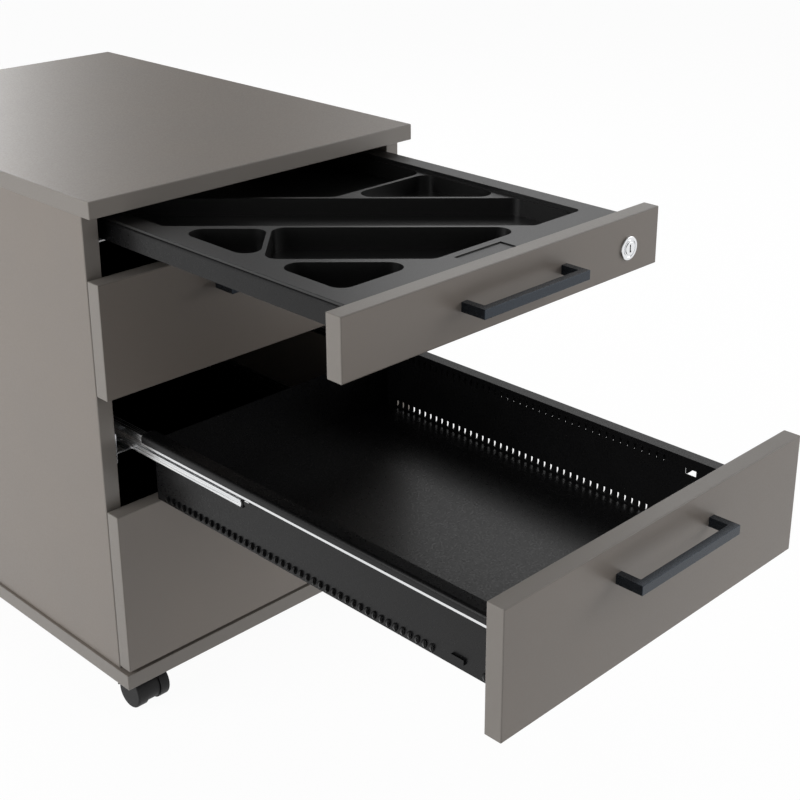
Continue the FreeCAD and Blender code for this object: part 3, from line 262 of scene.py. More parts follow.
@dataclass(frozen=True)
class MelamineBoard(Finish):
    """Melamine-faced chipboard, pressed with a fine pearl texture: matt, with a faint broken sheen.

    Each board has its own material, because its edge bands are glued on a millimetre inside its outline.
    """

    name: str = "melamine_faced_board"
    colour: str = "#8D847C"
    roughness: float = 0.36
    smoother: float = 0.06
    rougher: float = 0.06
    cloud_colour: str = "#86807B"
    cloud_mm: float = 90.0
    cloud_share: float = 0.3
    band_colour: str = "#8E8882"
    band_mm: float = 1.0
    joint_colour: str = "#5B564F"
    joint_mm: float = 0.35
    joint_share: float = 0.6
    pearl_mm: float = 1.6  # pressed at about 0.4 mm, drawn coarser so that it shows
    pearl_depth: float = 0.025

    def joint_line(self, tree: bpy.types.NodeTree, place: bpy.types.Node, board: str,
                   thickness: Axis) -> bpy.types.NodeSocket:
        """Finds the line where the board's face meets its edge bands.

        Args:
            tree: the material's node tree.
            place: the node that splits the position.
            board: the board's node.
            thickness: the axis along which the board is thin.

        Returns:
            1 on the line, and 0 elsewhere.
        """
        low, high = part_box(board)
        lines = []
        for i in (axis.value for axis in Axis if axis is not thickness):
            middle, half = (low[i] + high[i]) / 2, (high[i] - low[i]) / 2
            out = calculate(tree, "ABSOLUTE", calculate(tree, "SUBTRACT", place.outputs[i], middle))
            lines.append(calculate(tree, "COMPARE", out, half - self.band_mm * MM, self.joint_mm * MM / 2))
        return calculate(tree, "MAXIMUM", *lines)

    def make(self, board: str, thickness: Axis) -> bpy.types.Material:
        """Makes one board's material.

        Args:
            board: the board's node.
            thickness: the axis along which the board is thin.

        Returns:
            The material.
        """
        material, shader = self.start(f"{self.name}_{board}")
        tree = material.node_tree
        coordinates = add_node(tree, "ShaderNodeTexCoord")
        place = add_node(tree, "ShaderNodeSeparateXYZ", links={0: coordinates.outputs["Object"]})
        facing = add_node(tree, "ShaderNodeSeparateXYZ", links={0: coordinates.outputs["Normal"]})
        on_face = calculate(tree, "GREATER_THAN",
                            calculate(tree, "ABSOLUTE", facing.outputs[thickness.value]), FACING)
        glue = calculate(tree, "MULTIPLY", self.joint_line(tree, place, board, thickness), on_face)

        cloud = self.remap(tree, self.grain(tree, self.cloud_mm), 0.0, self.cloud_share)
        melamine = self.tint(tree, cloud, self.colour, self.cloud_colour)
        banded = self.tint(tree, on_face, self.band_colour, melamine)
        joint = calculate(tree, "MULTIPLY", glue, self.joint_share)
        self.paint(tree, shader, joint, banded, self.joint_colour)

        pearl = self.grain(tree, self.pearl_mm, detail=1.0)
        self.scuff(tree, shader, pearl)
        self.emboss(tree, shader, pearl, self.pearl_depth)
        return material


@dataclass(frozen=True)
class PowderCoat(Finish):
    """Epoxy-polyester powder baked on folded sheet: satin, with the slight orange peel that powder leaves."""

    name: str = "powder_coated_steel"
    colour: str = "#0E0E0F"
    roughness: float = 0.3
    ior: float = 1.32  # below the resin's own, so that the black stays dark where it mirrors the room
    rougher: float = 0.07
    relief: float = 0.6
    cloud_colour: str = "#121213"
    cloud_mm: float = 40.0
    peel_mm: float = 2.2
    peel_depth: float = 0.01

    def make(self) -> bpy.types.Material:
        """Makes the material.

        Returns:
            The material.
        """
        material, shader = self.start()
        tree = material.node_tree
        cloud = self.remap(tree, self.grain(tree, self.cloud_mm), 0.0, 1.0)
        self.paint(tree, shader, cloud, self.colour, self.cloud_colour)
        peel = self.grain(tree, self.peel_mm)
        self.scuff(tree, shader, peel)
        self.emboss(tree, shader, peel, self.peel_depth)
        return material


@dataclass(frozen=True)
class HandleCoat(Finish):
    """Anthracite metallic stove enamel on a die-cast handle: dark blue-grey, with a fine metallic speckle."""

    name: str = "anthracite_metallic_enamel"
    colour: str = "#050607"
    roughness: float = 0.3
    ior: float = 1.54
    relief: float = 0.4
    sheen_colour: str = "#D2E6FF"
    speck_colour: str = "#0D1013"
    speck_mm: float = 0.9  # flakes of about 0.05 mm, drawn coarser so that they show
    speck_range: tuple[float, float] = (0.55, 0.75)  # the part of the pattern that is flakes
    speck_depth: float = 0.01

    def make(self) -> bpy.types.Material:
        """Makes the material.

        Returns:
            The material.
        """
        material, shader = self.start()
        tree = material.node_tree
        shader.inputs["Specular Tint"].default_value = linear(self.sheen_colour)
        speck = self.grain(tree, self.speck_mm, detail=0.0)
        share = self.remap(tree, speck, 0.0, 1.0, *self.speck_range)
        self.paint(tree, shader, share, self.colour, self.speck_colour)
        self.scuff(tree, shader, speck)
        self.emboss(tree, shader, speck, self.speck_depth)
        return material


@dataclass(frozen=True)
class ZincPlate(Finish):
    """Bright zinc plating on rolled strip: cool silver, with faint streaks along the rolling direction."""

    name: str = "zinc_plated_steel"
    colour: str = "#E8E9EA"
    roughness: float = 0.26
    metallic: float = 1.0
    smoother: float = 0.07
    rougher: float = 0.1
    streak_colours: tuple[str, str] = ("#DDDFE1", "#F2F2F2")
    streak_mm: float = 0.7
    streak_length: float = 60.0
    streak_depth: float = 0.006

    def make(self) -> bpy.types.Material:
        """Makes the material.

        Returns:
            The material.
        """
        material, shader = self.start()
        tree = material.node_tree
        streaks = self.grain(tree, self.streak_mm, stretch=(1.0, self.streak_mm / self.streak_length, 1.0))
        self.paint(tree, shader, self.remap(tree, streaks, 0.0, 1.0), *self.streak_colours)
        self.scuff(tree, shader, streaks)
        self.emboss(tree, shader, streaks, self.streak_depth)
        return material


@dataclass(frozen=True)
class Chrome(Finish):
    """Bright chrome on a polished lock: a clear mirror with a slight uneven haze."""

    name: str = "polished_chrome"
    colour: str = "#E4E5E7"
    roughness: float = 0.12
    metallic: float = 1.0
    smoother: float = 0.04
    rougher: float = 0.08
    haze_mm: float = 2.5

    def make(self) -> bpy.types.Material:
        """Makes the material.

        Returns:
            The material.
        """
        material, shader = self.start()
        tree = material.node_tree
        self.scuff(tree, shader, self.grain(tree, self.haze_mm))
        return material


@dataclass(frozen=True)
class KeywayChrome(Chrome):
    """The lock's core: the same chrome on its face, with painted shade darkening the keyway behind it."""

    name: str = "polished_chrome_with_dark_keyway"
    face: float = 0.0  # where the core's face is along y, in metres
    # the painted shade inside the keyway, not a colour of the metal
    keyway_shade_colour: str = "#0C0C0C"
    dark_from_mm: float = 0.2  # depth behind the face at which the painted shade starts
    dark_at_mm: float = 0.7  # depth at which the painted shade is full

    def make(self) -> bpy.types.Material:
        """Makes the material.

        Returns:
            The material.
        """
        material = super().make()
        tree = material.node_tree
        coordinates = add_node(tree, "ShaderNodeTexCoord")
        place = add_node(tree, "ShaderNodeSeparateXYZ", links={0: coordinates.outputs["Object"]})
        # painted shade: the keyway's chrome turns near black with depth behind the core's face
        depth = self.remap(tree, place.outputs["Y"], 0.0, 1.0,
                           self.face + self.dark_from_mm * MM, self.face + self.dark_at_mm * MM)
        self.paint(tree, tree.nodes["Principled BSDF"], depth, self.colour, self.keyway_shade_colour)
        return material


@dataclass(frozen=True)
class TrayMoulding(Finish):
    """Vacuum-formed polystyrene with a fine spark texture: deep black, grey where it mirrors the room."""

    name: str = "moulded_polystyrene"
    colour: str = "#0B0B0B"
    roughness: float = 0.33
    ior: float = 1.52
    smoother: float = 0.04
    rougher: float = 0.06
    spark_colour: str = "#101010"
    spark_mm: float = 0.9  # eroded at about 0.1 mm, drawn coarser so that it shows
    spark_depth: float = 0.012

    def make(self) -> bpy.types.Material:
        """Makes the material.

        Returns:
            The material.
        """
        material, shader = self.start()
        tree = material.node_tree
        spark = self.grain(tree, self.spark_mm)
        self.paint(tree, shader, self.remap(tree, spark, 0.0, 1.0), self.colour, self.spark_colour)
        self.scuff(tree, shader, spark)
        self.emboss(tree, shader, spark, self.spark_depth)
        return material


@dataclass(frozen=True)
class Nylon(Finish):
    """Glass-filled nylon, injection moulded: black, dull, with faint grey flow marks."""

    name: str = "moulded_nylon"
    colour: str = "#0E0E0F"
    roughness: float = 0.48
    ior: float = 1.34  # below the nylon's own, so that the black stays dark where it mirrors the room
    rougher: float = 0.08
    flow_colour: str = "#151516"
    flow_mm: float = 14.0
    skin_mm: float = 0.8
    skin_depth: float = 0.015

    def make(self) -> bpy.types.Material:
        """Makes the material.

        Returns:
            The material.
        """
        material, shader = self.start()
        tree = material.node_tree
        flow = self.grain(tree, self.flow_mm, detail=4.0)
        self.paint(tree, shader, self.remap(tree, flow, 0.0, 1.0), self.colour, self.flow_colour)
        skin = self.grain(tree, self.skin_mm)
        self.scuff(tree, shader, skin)
        self.emboss(tree, shader, skin, self.skin_depth)
        return material


@dataclass(frozen=True)
class BlackPlate(Finish):
    """Black electro-painted steel on the castor plates: thin paint that follows the rolled surface."""

    name: str = "black_painted_plate"
    colour: str = "#161617"
    roughness: float = 0.4
    smoother: float = 0.06
    rougher: float = 0.1
    rolled_mm: float = 1.0
    rolled_stretch: tuple[float, float, float] = (1.0, 0.08, 1.0)
    rolled_depth: float = 0.008

    def make(self) -> bpy.types.Material:
        """Makes the material.

        Returns:
            The material.
        """
        material, shader = self.start()
        tree = material.node_tree
        rolled = self.grain(tree, self.rolled_mm, stretch=self.rolled_stretch)
        self.scuff(tree, shader, rolled)
        self.emboss(tree, shader, rolled, self.rolled_depth)
        return material


@dataclass(frozen=True)
class Beech(Finish):
    """Turned beech pegs: pale pinkish brown with short darker flecks along the grain."""

    name: str = "turned_beech"
    colour: str = "#C79F74"
    roughness: float = 0.6
    fleck_colour: str = "#A67C52"
    fleck_mm: float = 1.2
    fleck_stretch: tuple[float, float, float] = (1.0, 1.0, 0.15)
    fleck_range: tuple[float, float] = (0.5, 0.75)  # the part of the pattern that is flecks

    def make(self) -> bpy.types.Material:
        """Makes the material.

        Returns:
            The material.
        """
        material, shader = self.start()
        tree = material.node_tree
        fleck = self.grain(tree, self.fleck_mm, detail=3.0, stretch=self.fleck_stretch)
        share = self.remap(tree, fleck, 0.0, 1.0, *self.fleck_range)
        self.paint(tree, shader, share, self.colour, self.fleck_colour)
        return material


# ---------------------------------------------------------------- modelling by hand
class Element(Enum):
    """What is picked in edit mode."""

    VERTEX = "VERT"
    EDGE = "EDGE"
    FACE = "FACE"


def pick(kind: Element, test: Callable[[Vector, Vector], bool]) -> None:
    """Selects the elements that pass a test, in edit mode, and nothing else.

    Args:
        kind: vertices, edges or faces.
        test: says whether an element is wanted, by its centre and normal (for an edge, its direction).
    """
    bpy.ops.mesh.select_mode(type=kind.value)
    bpy.ops.mesh.select_all(action="DESELECT")
    data = bpy.context.edit_object.data
    mesh = bmesh.from_edit_mesh(data)
    if kind is Element.VERTEX:
        found = [(v, v.co, v.normal) for v in mesh.verts]
    elif kind is Element.EDGE:
        found = [(e, (e.verts[0].co + e.verts[1].co) / 2, e.verts[1].co - e.verts[0].co) for e in mesh.edges]
    else:
        found = [(f, f.calc_center_median(), f.normal) for f in mesh.faces]
    for element, centre, normal in found:
        if test(centre, normal):
            element.select_set(True)
    mesh.select_flush_mode()
    bmesh.update_edit_mesh(data)


def cut(at: tuple[float, float, float], along: tuple[float, float, float], drop: bool = False) -> None:
    """Cuts the whole mesh with a plane, in edit mode.

    Args:
        at: a point on the plane.
        along: its normal.
        drop: whether the side that the normal points to is thrown away.
    """
    bpy.ops.mesh.select_mode(type="VERT")
    bpy.ops.mesh.select_all(action="SELECT")
    bpy.ops.mesh.bisect(plane_co=at, plane_no=along, clear_outer=drop)


def thicken(piece: bpy.types.Object, thickness: float, offset: float = -1.0) -> None:
    """Gives an open shell the thickness of its sheet.

    Args:
        piece: the shell.
        thickness: in metres.
        offset: -1 inwards, 1 outwards.
    """
    shell = piece.modifiers.new("sheet", "SOLIDIFY")
    shell.thickness = thickness
    shell.offset = offset
    bpy.context.view_layer.objects.active = piece
    bpy.ops.object.modifier_apply(modifier=shell.name)


def repeat(first: bpy.types.Object, name: str, places: Iterable[Matrix]) -> bpy.types.Object:
    """Copies a finished piece to all its places and joins the copies.

    Args:
        first: the piece, modelled at the origin. It is used up.
        name: the joined piece's name.
        places: where each copy goes. A mirrored place gets its faces turned outwards again.

    Returns:
        The joined piece, with its place in its mesh.
    """
    bpy.ops.object.select_all(action="DESELECT")
    copies = []
    for place in places:
        mesh = first.data.copy()
        mesh.transform(place)
        if place.determinant() < 0:
            mesh.flip_normals()
        copy = bpy.data.objects.new(name, mesh)
        bpy.context.scene.collection.objects.link(copy)
        copy.select_set(True)
        copies.append(copy)
    bpy.context.view_layer.objects.active = copies[0]
    bpy.ops.object.join()
    joined = bpy.context.view_layer.objects.active
    joined.name = name
    bpy.data.objects.remove(first)
    bpy.ops.object.select_all(action="DESELECT")
    return joined


def hand_over(piece: bpy.types.Object, material: bpy.types.Material, body: str) -> None:
    """Finishes a new piece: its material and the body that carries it.

    Args:
        piece: the piece.
        material: its material.
        body: the body that it moves with.
    """
    piece.data.materials.clear()
    piece.data.materials.append(material)
    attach(piece, body)
    log.info("modelled %s, %d faces, on %s", piece.name, len(piece.data.polygons), body)


@dataclass
class WallFitting:
    """What is pressed out of both walls of a steel drawer. Sizes in millimetres.

    The walls are the same pressing turned round, not mirrored.
    """

    drawer: str
    rim_width: float = 16.5
    sheet: float = 1.0

    def wall(self) -> float:
        """Finds the outside of the left wall, below its rim.

        Returns:
            Where it is along x, in metres.
        """
        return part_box(f"{self.drawer}_box")[0][0] + (self.rim_width - self.sheet) * MM

    def front(self) -> float:
        """Finds the front plane of the drawer.

        Returns:
            Where it is along y, in metres.
        """
        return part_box(f"{self.drawer}_front")[0][1]


@dataclass
class SlotLouvres(WallFitting):
    """The louvres pressed outwards over the divider slots in a steel drawer's walls. Sizes in millimetres.

    The left louvres open forwards and the right ones backwards. The upper row is pressed flatter, because the
    rails pass a millimetre away.
    """

    slot_width: float = 2.8
    spacing: float = 9.0
    first: float = 120.0  # behind the front plane
    end_margin: float = 20.0  # in front of the rails' ends
    near_first: float = 31.5  # the short rows by the front
    near_count: int = 4
    above_foot: float = 6.5
    below_rim: float = 9.5
    length: float = 4.6
    height: float = 8.2
    proud: float = 2.9
    upper_proud: float = 0.85
    skin: float = 0.5  # the louvre's own thickness
    merge: float = 0.01  # cut points closer than this are one

    def model(self) -> bpy.types.Object:
        """Models one louvre of the left wall: a quarter of a flattened ball, open towards the front.

        Returns:
            The louvre, with the middle of its mouth at the origin.
        """
        bpy.ops.mesh.primitive_uv_sphere_add(segments=12, ring_count=8, radius=1.0, location=(0.0, 0.0, 0.0))
        louvre = bpy.context.object
        bpy.ops.object.mode_set(mode="EDIT")
        bpy.ops.transform.resize(value=(self.proud * MM, self.length * MM, self.height / 2 * MM))
        cut((0.0, 0.0, 0.0), (1.0, 0.0, 0.0), drop=True)
        cut((0.0, 0.0, 0.0), (0.0, -1.0, 0.0), drop=True)
        bpy.ops.mesh.select_all(action="SELECT")
        bpy.ops.mesh.remove_doubles(threshold=self.merge * MM)
        bpy.ops.object.mode_set(mode="OBJECT")
        thicken(louvre, self.skin * MM)
        bpy.ops.object.shade_smooth_by_angle(angle=SMOOTH_BELOW)
        return louvre

    def build(self, steel: bpy.types.Material) -> None:
        """Sets a louvre over every slot.

        Args:
            steel: the coated sheet.
        """
        low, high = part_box(f"{self.drawer}_box")
        wall, front = self.wall(), self.front()
        depth = (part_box(f"{self.drawer}_drawer_rails")[1][1] - front) / MM
        count = int((depth - self.end_margin - self.first) / self.spacing) + 1
        offsets = [self.first + i * self.spacing for i in range(count)]
        offsets += [self.near_first + i * self.spacing for i in range(self.near_count)]
        rows = ((low[2] + self.above_foot * MM, 1.0),
                (high[2] - self.below_rim * MM, self.upper_proud / self.proud))
        half = self.slot_width / 2
        places = []
        for height, flatness in rows:
            press = Matrix.Diagonal((flatness, 1.0, 1.0, 1.0))
            for offset in offsets:
                left = Matrix.Translation((wall, front + (offset - half) * MM, height))
                right = Matrix.Translation((-wall, front + (offset + half) * MM, height))
                places += [left @ press, right @ HALF_TURN @ press]
        louvres = repeat(self.model(), f"{self.drawer}_louvres", places)
        hand_over(louvres, steel, f"{self.drawer}_drawer")


@dataclass
class HookTabs(WallFitting):
    """The tongues in the hook holes in a steel drawer's walls. Sizes in millimetres.

    Each is cut free at one end and below, has its lower corner clipped, and hangs from the hole's upper edge.
    """

    start: float = 88.5  # the hole's middle, behind the front plane
    below_rim: float = 14.5  # the hole's middle
    hole_length: float = 13.0
    hole_height: float = 6.5
    gap: float = 0.5  # the cut at the free end and below
    lap: float = 0.4  # how far it reaches over the hole's upper edge
    thickness: float = 0.8
    sunk: float = 0.5  # into the wall's outside; the clips on the rails pass 0.6 mm away from it
    clip_length: float = 10.5  # of the corner that is clipped off
    clip_height: float = 1.6

    def model(self) -> bpy.types.Object:
        """Models the left wall's tongue.

        Returns:
            The tongue, with the hole's middle on the wall's outside at the origin.
        """
        middle = (self.sunk * MM, self.gap / 2 * MM, (self.gap + self.lap) / 2 * MM)
        bpy.ops.mesh.primitive_plane_add(size=1.0, rotation=(0.0, math.pi / 2, 0.0), location=middle)
        tongue = bpy.context.object
        tall = (self.hole_height - self.gap + self.lap) * MM
        tongue.scale = (tall, (self.hole_length - self.gap) * MM, 1.0)
        bpy.ops.object.transform_apply(location=True, rotation=True, scale=True)
        bpy.ops.object.mode_set(mode="EDIT")
        corner = (0.0, (self.hole_length / 2 - self.clip_length) * MM, (self.gap - self.hole_height / 2) * MM)
        cut(corner, (0.0, self.clip_height, -self.clip_length), drop=True)
        bpy.ops.object.mode_set(mode="OBJECT")
        thicken(tongue, self.thickness * MM)
        return tongue

    def build(self, steel: bpy.types.Material) -> None:
        """Hangs a tongue in both walls' hook holes.

        Args:
            steel: the coated sheet.
        """
        along = self.front() + self.start * MM
        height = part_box(f"{self.drawer}_box")[1][2] - self.below_rim * MM
        places = [Matrix.Translation((self.wall(), along, height)),
                  Matrix.Translation((-self.wall(), along, height)) @ HALF_TURN]
        tabs = repeat(self.model(), f"{self.drawer}_hook_tabs", places)
        hand_over(tabs, steel, f"{self.drawer}_drawer")


@dataclass
class RailStops:
    """The black clips on the front ends of a drawer's intermediate rails. Sizes in millimetres."""

    drawer: str
    foot_width: float = 13.2
    foot_height: float = 7.0
    edge: float = 1.6  # from the foot's top or bottom to the pressed race
    slope: float = 1.0
    race: float = 0.7  # how far the race is pressed in
    lip: float = 3.4
    play: float = 0.3  # between the foot and the clip
    length: float = 2.6
    wall: float = 1.4

    def model(self) -> bpy.types.Object:
        """Models one clip: a channel that follows the rail's foot, with waisted sides and lips below.

        Returns:
            The clip, with the foot's upper middle at the origin and its back against the rail's end.
        """
        wide = (self.foot_width + 2 * self.play) * MM
        tall = (self.foot_height + 2 * self.play) * MM
        middle = (0.0, -self.length / 2 * MM, -self.foot_height / 2 * MM)
        bpy.ops.mesh.primitive_cube_add(size=1.0, location=middle)
        clip = bpy.context.object
        clip.scale = (wide, self.length * MM, tall)
        bpy.ops.object.transform_apply(location=True, rotation=False, scale=True)
        bpy.ops.object.mode_set(mode="EDIT")
        pick(Element.FACE, lambda at, way: abs(way.y) > FACING or way.z < -FACING)
        bpy.ops.mesh.delete(type="FACE")
        top, foot = middle[2] + tall / 2, middle[2] - tall / 2
        start, end = self.edge * MM, (self.edge + self.slope) * MM
        for level in (top - start, top - end, foot + end, foot + start):
            cut((0.0, 0.0, level), (0.0, 0.0, 1.0))
        pick(Element.VERTEX, lambda at, way: foot + end - NEAR <= at.z <= top - end + NEAR)
        waist = (wide - 2 * self.race * MM) / wide
        bpy.ops.transform.resize(value=(waist, 1.0, 1.0), center_override=middle)
        for side in (-1, 1):
            pick(Element.EDGE,
                 lambda at, way: abs(at.z - foot) < NEAR and at.x * side > 0 and abs(way.y) > NEAR)
            inwards = (-side * self.lip * MM, 0.0, 0.0)
            bpy.ops.mesh.extrude_region_move(TRANSFORM_OT_translate={"value": inwards})
        bpy.ops.mesh.select_all(action="SELECT")
        bpy.ops.mesh.normals_make_consistent(inside=False)
        bpy.ops.object.mode_set(mode="OBJECT")
        thicken(clip, self.wall * MM)
        return clip

    def build(self, nylon: bpy.types.Material) -> None:
        """Sets a clip on both rails.

        Args:
            nylon: the clip's plastic.
        """
        low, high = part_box(f"{self.drawer}_mid_rails")
        height = low[2] + self.foot_height * MM
        places = [Matrix.Translation((x, low[1], height))
                  for x in (low[0] + self.foot_width / 2 * MM, high[0] - self.foot_width / 2 * MM)]
        stops = repeat(self.model(), f"{self.drawer}_rail_stops", places)
        hand_over(stops, nylon, f"{self.drawer}_slides")


# ---------------------------------------------------------------- sub-assemblies
def dress(node: str, material: bpy.types.Material) -> None:
    """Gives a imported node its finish.

    Args:
        node: the node's name.
        material: its only material.
    """
    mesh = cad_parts[node].data
    mesh.materials.clear()
    mesh.materials.append(material)
    log.info("dressed %s in %s", node, material.name)


@dataclass
class Carcass:
    """The cabinet: five laminated boards, what joins them, the cabinet rails and the lock bar."""

    boards: dict[str, Axis] = field(default_factory=lambda: {
        "top_panel": Axis.Z, "base_panel": Axis.Z, "left_side_panel": Axis.X, "right_side_panel": Axis.X,
        "back_panel": Axis.Y})
    zinc_nodes: tuple[str, ...] = ("cam_locks", "cam_bolts", "left_fixed_rails", "right_fixed_rails",
                                   "panel_screws", "castor_screws", "lock_bar", "lock_bar_guides")

    def dress(self, board: MelamineBoard, zinc: bpy.types.Material, peg: bpy.types.Material) -> None:
        """Gives the boards and their fittings their finishes.

        Args:
            board: the laminated board's finish.
            zinc: the zinc-plated steel.
            peg: the beech.
        """
        for node, thickness in self.boards.items():
            dress(node, board.make(node, thickness))
        for node in self.zinc_nodes:
            dress(node, zinc)
        dress("dowels", peg)


@dataclass
class Drawer:
    """One drawer with its front, handle, steel and rails."""

    name: str

    def dress(self, board: MelamineBoard, handle: bpy.types.Material, steel: bpy.types.Material,
              zinc: bpy.types.Material) -> None:
        """Gives the drawer's parts their finishes.

        Args:
            board: the laminated board's finish.
            handle: the handle's enamel.
            steel: the coated sheet.
            zinc: the zinc-plated steel.
        """
        dress(f"{self.name}_front", board.make(f"{self.name}_front", Axis.Y))
        dress(f"{self.name}_handle", handle)
        dress(f"{self.name}_frame" if self.name == "pencil" else f"{self.name}_box", steel)
        for part in ("screws", "drawer_rails", "mid_rails"):
            dress(f"{self.name}_{part}", zinc)

    def build(self, steel: bpy.types.Material, nylon: bpy.types.Material) -> None:
        """Adds the small fittings that ride on the drawer and its rails.

        Args:
            steel: the coated sheet.
            nylon: the rail stops' plastic.
        """
        if self.name != "pencil":
            SlotLouvres(self.name).build(steel)
            HookTabs(self.name).build(steel)
        RailStops(self.name).build(nylon)


@dataclass
class PencilFittings:
    """The pencil drawer's moulded tray and its lock."""

    def dress(self, tray: bpy.types.Material, chrome: bpy.types.Material, zinc: bpy.types.Material) -> None:
        """Gives the tray and the lock their finishes.

        Args:
            tray: the moulded plastic.
            chrome: the polished chrome.
            zinc: the zinc-plated steel.
        """
        dress("pencil_tray", tray)
        dress("pencil_lock_housing", chrome)
        dress("pencil_lock_core", KeywayChrome(face=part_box("pencil_lock_core")[0][1]).make())
        dress("pencil_lock_rod", zinc)


@dataclass
class Castors:
    """Four twin-wheel castors."""

    places: tuple[str, ...] = ("front_left", "front_right", "rear_left", "rear_right")

    def dress(self, nylon: bpy.types.Material, plate: bpy.types.Material, zinc: bpy.types.Material) -> None:
        """Gives the castors their finishes.

        Args:
            nylon: the hoods' and wheels' plastic.
            plate: the painted plates.
            zinc: the axles' steel.
        """
        dress("castor_plates", plate)
        for place in self.places:
            dress(f"castor_frame_{place}", nylon)
            dress(f"castor_axle_{place}", zinc)
            for side in "lr":
                dress(f"castor_wheel_{place}_{side}", nylon)


# ---------------------------------------------------------------- studio
@dataclass(frozen=True)
class Lamp:
    """A square softbox: its place and the point that it faces in metres, its side, and its power in watts."""

    name: str
    place: tuple[float, float, float]
    target: tuple[float, float, float]
    size: float
    power: float


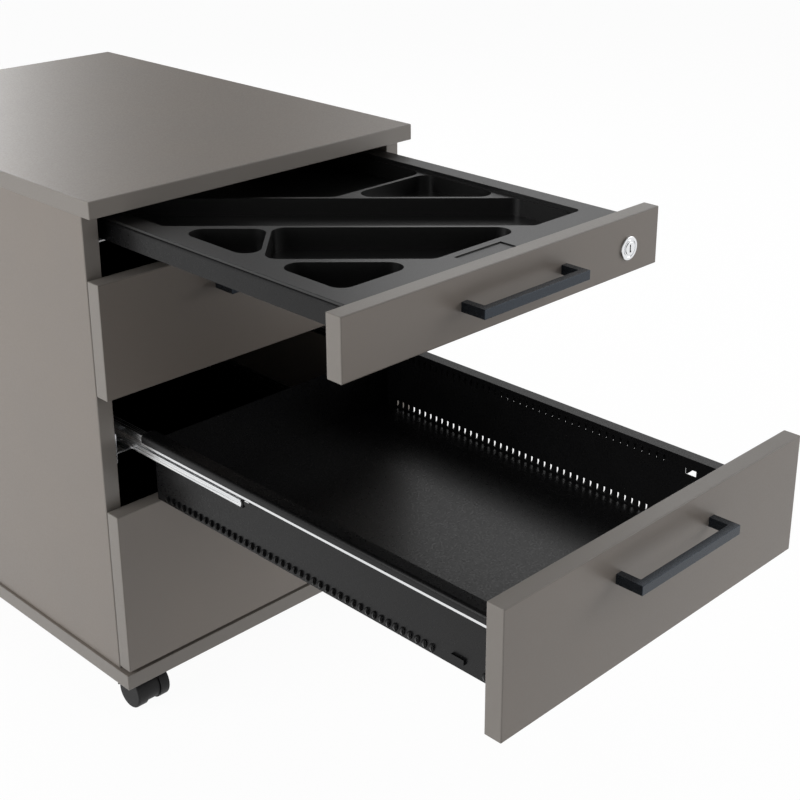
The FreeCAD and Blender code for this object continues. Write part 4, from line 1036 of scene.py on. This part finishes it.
@dataclass
class Studio:
    """The pale floor, four softboxes, the room that polished surfaces mirror, and the camera."""

    eye: tuple[float, float, float] = (-0.9369, -1.4499, 0.999)
    yaw: float = 44.64  # degrees from the x axis
    pitch: float = 21.11  # degrees below the horizon
    lens: float = 66.03  # millimetres
    shift: tuple[float, float] = (-0.0238, -0.11)
    ambient: float = 0.22  # what the room adds to matt surfaces
    ceiling: float = 0.08  # how bright polished surfaces see the ceiling, where the walls are 1
    ceiling_rise: float = 0.7  # the upward part of the view direction at which it is all ceiling
    # how bright the walls are, by the view direction's part along x
    walls: tuple[tuple[float, float], ...] = (
        (0.0, 0.25), (0.12, 1.0), (0.42, 1.0), (0.515, 0.12), (0.58, 0.05), (0.72, 0.18), (1.0, 0.22))
    wall_gain: float = 4.2
    front_wall: float = 0.9  # the most that the walls in front of the piece show
    wall_blend: float = 0.2  # the view direction's part along y over which that limit fades, either way
    floor_side: float = 60.0
    floor_grey: float = 0.85  # how much light the floor returns
    floor_glow: float = 1.03  # just above white
    floor_glow_share: float = 0.93  # the rest is the grey, which takes the faint shadow
    lamps: tuple[Lamp, ...] = (
        Lamp("left_softbox", (-2.2, 0.1, 1.2), (0.0, -0.1, 0.4), 1.6, 25.0),
        Lamp("rear_softbox", (0.35, 2.7, 1.15), (0.0, 0.0, 0.6), 1.3, 45.0),
        Lamp("far_softbox", (2.2, 1.0, 2.4), (0.0, -0.3, 0.5), 1.5, 12.0),
        Lamp("front_softbox", (1.9, -1.8, 1.2), (0.0, -0.4, 0.4), 1.4, 17.5),
    )

    def place_camera(self) -> None:
        """Sets the camera in front of the left corner, looking down at the open drawers."""
        data = bpy.data.cameras.new("camera")
        data.lens = self.lens
        data.shift_x, data.shift_y = self.shift
        camera = bpy.data.objects.new("camera", data)
        camera.location = self.eye
        camera.rotation_euler = (math.radians(90 - self.pitch), 0.0, math.radians(self.yaw - 90))
        bpy.context.scene.collection.objects.link(camera)
        bpy.context.scene.camera = camera

    def add_lamp(self, lamp: Lamp) -> None:
        """Hangs one square area lamp.

        Args:
            lamp: its name, place, size and power.
        """
        data = bpy.data.lights.new(lamp.name, "AREA")
        data.shape = "SQUARE"
        data.size = lamp.size
        data.energy = lamp.power
        holder = bpy.data.objects.new(lamp.name, data)
        holder.visible_camera = False
        holder.location = lamp.place
        holder.rotation_euler = (Vector(lamp.target) - Vector(lamp.place)).to_track_quat("-Z", "Y").to_euler()
        bpy.context.scene.collection.objects.link(holder)

    def light(self) -> None:
        """Hangs the lamps."""
        for lamp in self.lamps:
            self.add_lamp(lamp)

    def mirrored_room(self, tree: bpy.types.NodeTree) -> bpy.types.NodeSocket:
        """Draws the room as glossy surfaces see it: walls of uneven brightness under a dim ceiling.

        Args:
            tree: the world's node tree.

        Returns:
            The room's brightness, by direction.
        """
        coordinates = add_node(tree, "ShaderNodeTexCoord")
        way = add_node(tree, "ShaderNodeSeparateXYZ", links={0: coordinates.outputs["Object"]})
        smooth = {"interpolation_type": "SMOOTHSTEP"}
        ceiling = add_node(tree, "ShaderNodeMapRange", smooth,
                           {"From Min": 0.0, "From Max": self.ceiling_rise, "To Min": self.wall_gain,
                            "To Max": self.wall_gain * self.ceiling},
                           {"Value": way.outputs["Z"]})
        across = add_node(tree, "ShaderNodeFloatCurve", values={"Factor": 1.0},
                          links={"Value": way.outputs["X"]})
        across.mapping.extend = "HORIZONTAL"
        curve = across.mapping.curves[0]
        curve.points[0].location = self.walls[0]
        curve.points[1].location = self.walls[-1]
        for place, value in self.walls[1:-1]:
            curve.points.new(place, value)
        across.mapping.update()
        limit = add_node(tree, "ShaderNodeMapRange", smooth,
                         {"From Min": -self.wall_blend, "From Max": self.wall_blend,
                          "To Min": self.front_wall, "To Max": self.wall_gain},
                         {"Value": way.outputs["Y"]})
        walls = calculate(tree, "MULTIPLY", ceiling.outputs["Result"], across.outputs["Value"])
        return calculate(tree, "MINIMUM", walls, limit.outputs["Result"])

    def surround(self) -> None:
        """Puts the piece in the room: plain white to the camera, an even light to matt surfaces."""
        world = bpy.data.worlds.new("studio")
        world.use_nodes = True
        tree = world.node_tree
        tree.nodes.clear()
        path = add_node(tree, "ShaderNodeLightPath")
        plain = calculate(tree, "MAXIMUM", path.outputs["Is Camera Ray"], path.outputs["Is Transmission Ray"])
        mirrored = add_node(tree, "ShaderNodeMix", values={2: self.ambient},
                            links={0: path.outputs["Is Glossy Ray"], 3: self.mirrored_room(tree)})
        level = add_node(tree, "ShaderNodeMix", values={3: 1.0}, links={0: plain, 2: mirrored.outputs[0]})
        room = add_node(tree, "ShaderNodeBackground", values={"Color": (1.0, 1.0, 1.0, 1.0)},
                        links={"Strength": level.outputs[0]})
        add_node(tree, "ShaderNodeOutputWorld", links={"Surface": room.outputs[0]})
        bpy.context.scene.world = world

    def lay_floor(self) -> None:
        """Lays the pale floor, which shows nearly white and keeps a faint shadow."""
        bpy.ops.mesh.primitive_plane_add(size=self.floor_side, location=(0.0, 0.0, 0.0))
        floor = bpy.context.object
        floor.name = "floor"
        material = bpy.data.materials.new("white_floor")
        material.use_nodes = True
        tree = material.node_tree
        tree.nodes.clear()
        grey = (self.floor_grey, self.floor_grey, self.floor_grey, 1.0)
        paint = add_node(tree, "ShaderNodeBsdfDiffuse", values={"Color": grey})
        glow = add_node(tree, "ShaderNodeEmission",
                        values={"Color": (1.0, 1.0, 1.0, 1.0), "Strength": self.floor_glow})
        path = add_node(tree, "ShaderNodeLightPath")
        seen = calculate(tree, "MAXIMUM", path.outputs["Is Camera Ray"], path.outputs["Is Glossy Ray"])
        share = calculate(tree, "MULTIPLY", seen, self.floor_glow_share)
        both = add_node(tree, "ShaderNodeMixShader",
                        links={0: share, 1: paint.outputs[0], 2: glow.outputs[0]})
        add_node(tree, "ShaderNodeOutputMaterial", links={"Surface": both.outputs[0]})
        floor.data.materials.append(material)


def main() -> None:
    """Builds the sub-assemblies in order, then the studio."""
    logging.basicConfig(level=logging.INFO, format="%(name)s: %(message)s")
    bpy.ops.object.select_all(action="DESELECT")

    board = MelamineBoard()
    zinc = ZincPlate().make()
    steel = PowderCoat().make()
    chrome = Chrome().make()
    Carcass().dress(board, zinc, Beech().make())
    handle = HandleCoat().make()
    nylon = Nylon().make()
    for name in ("pencil", "upper", "middle", "lower"):
        drawer = Drawer(name)
        drawer.dress(board, handle, steel, zinc)
        drawer.build(steel, nylon)
    PencilFittings().dress(TrayMoulding().make(), chrome, zinc)
    Castors().dress(nylon, BlackPlate().make(), zinc)

    studio = Studio()
    studio.place_camera()
    studio.light()
    studio.surround()
    studio.lay_floor()
    bpy.context.scene.view_settings.view_transform = "Standard"


if __name__ == "__main__":
    main()
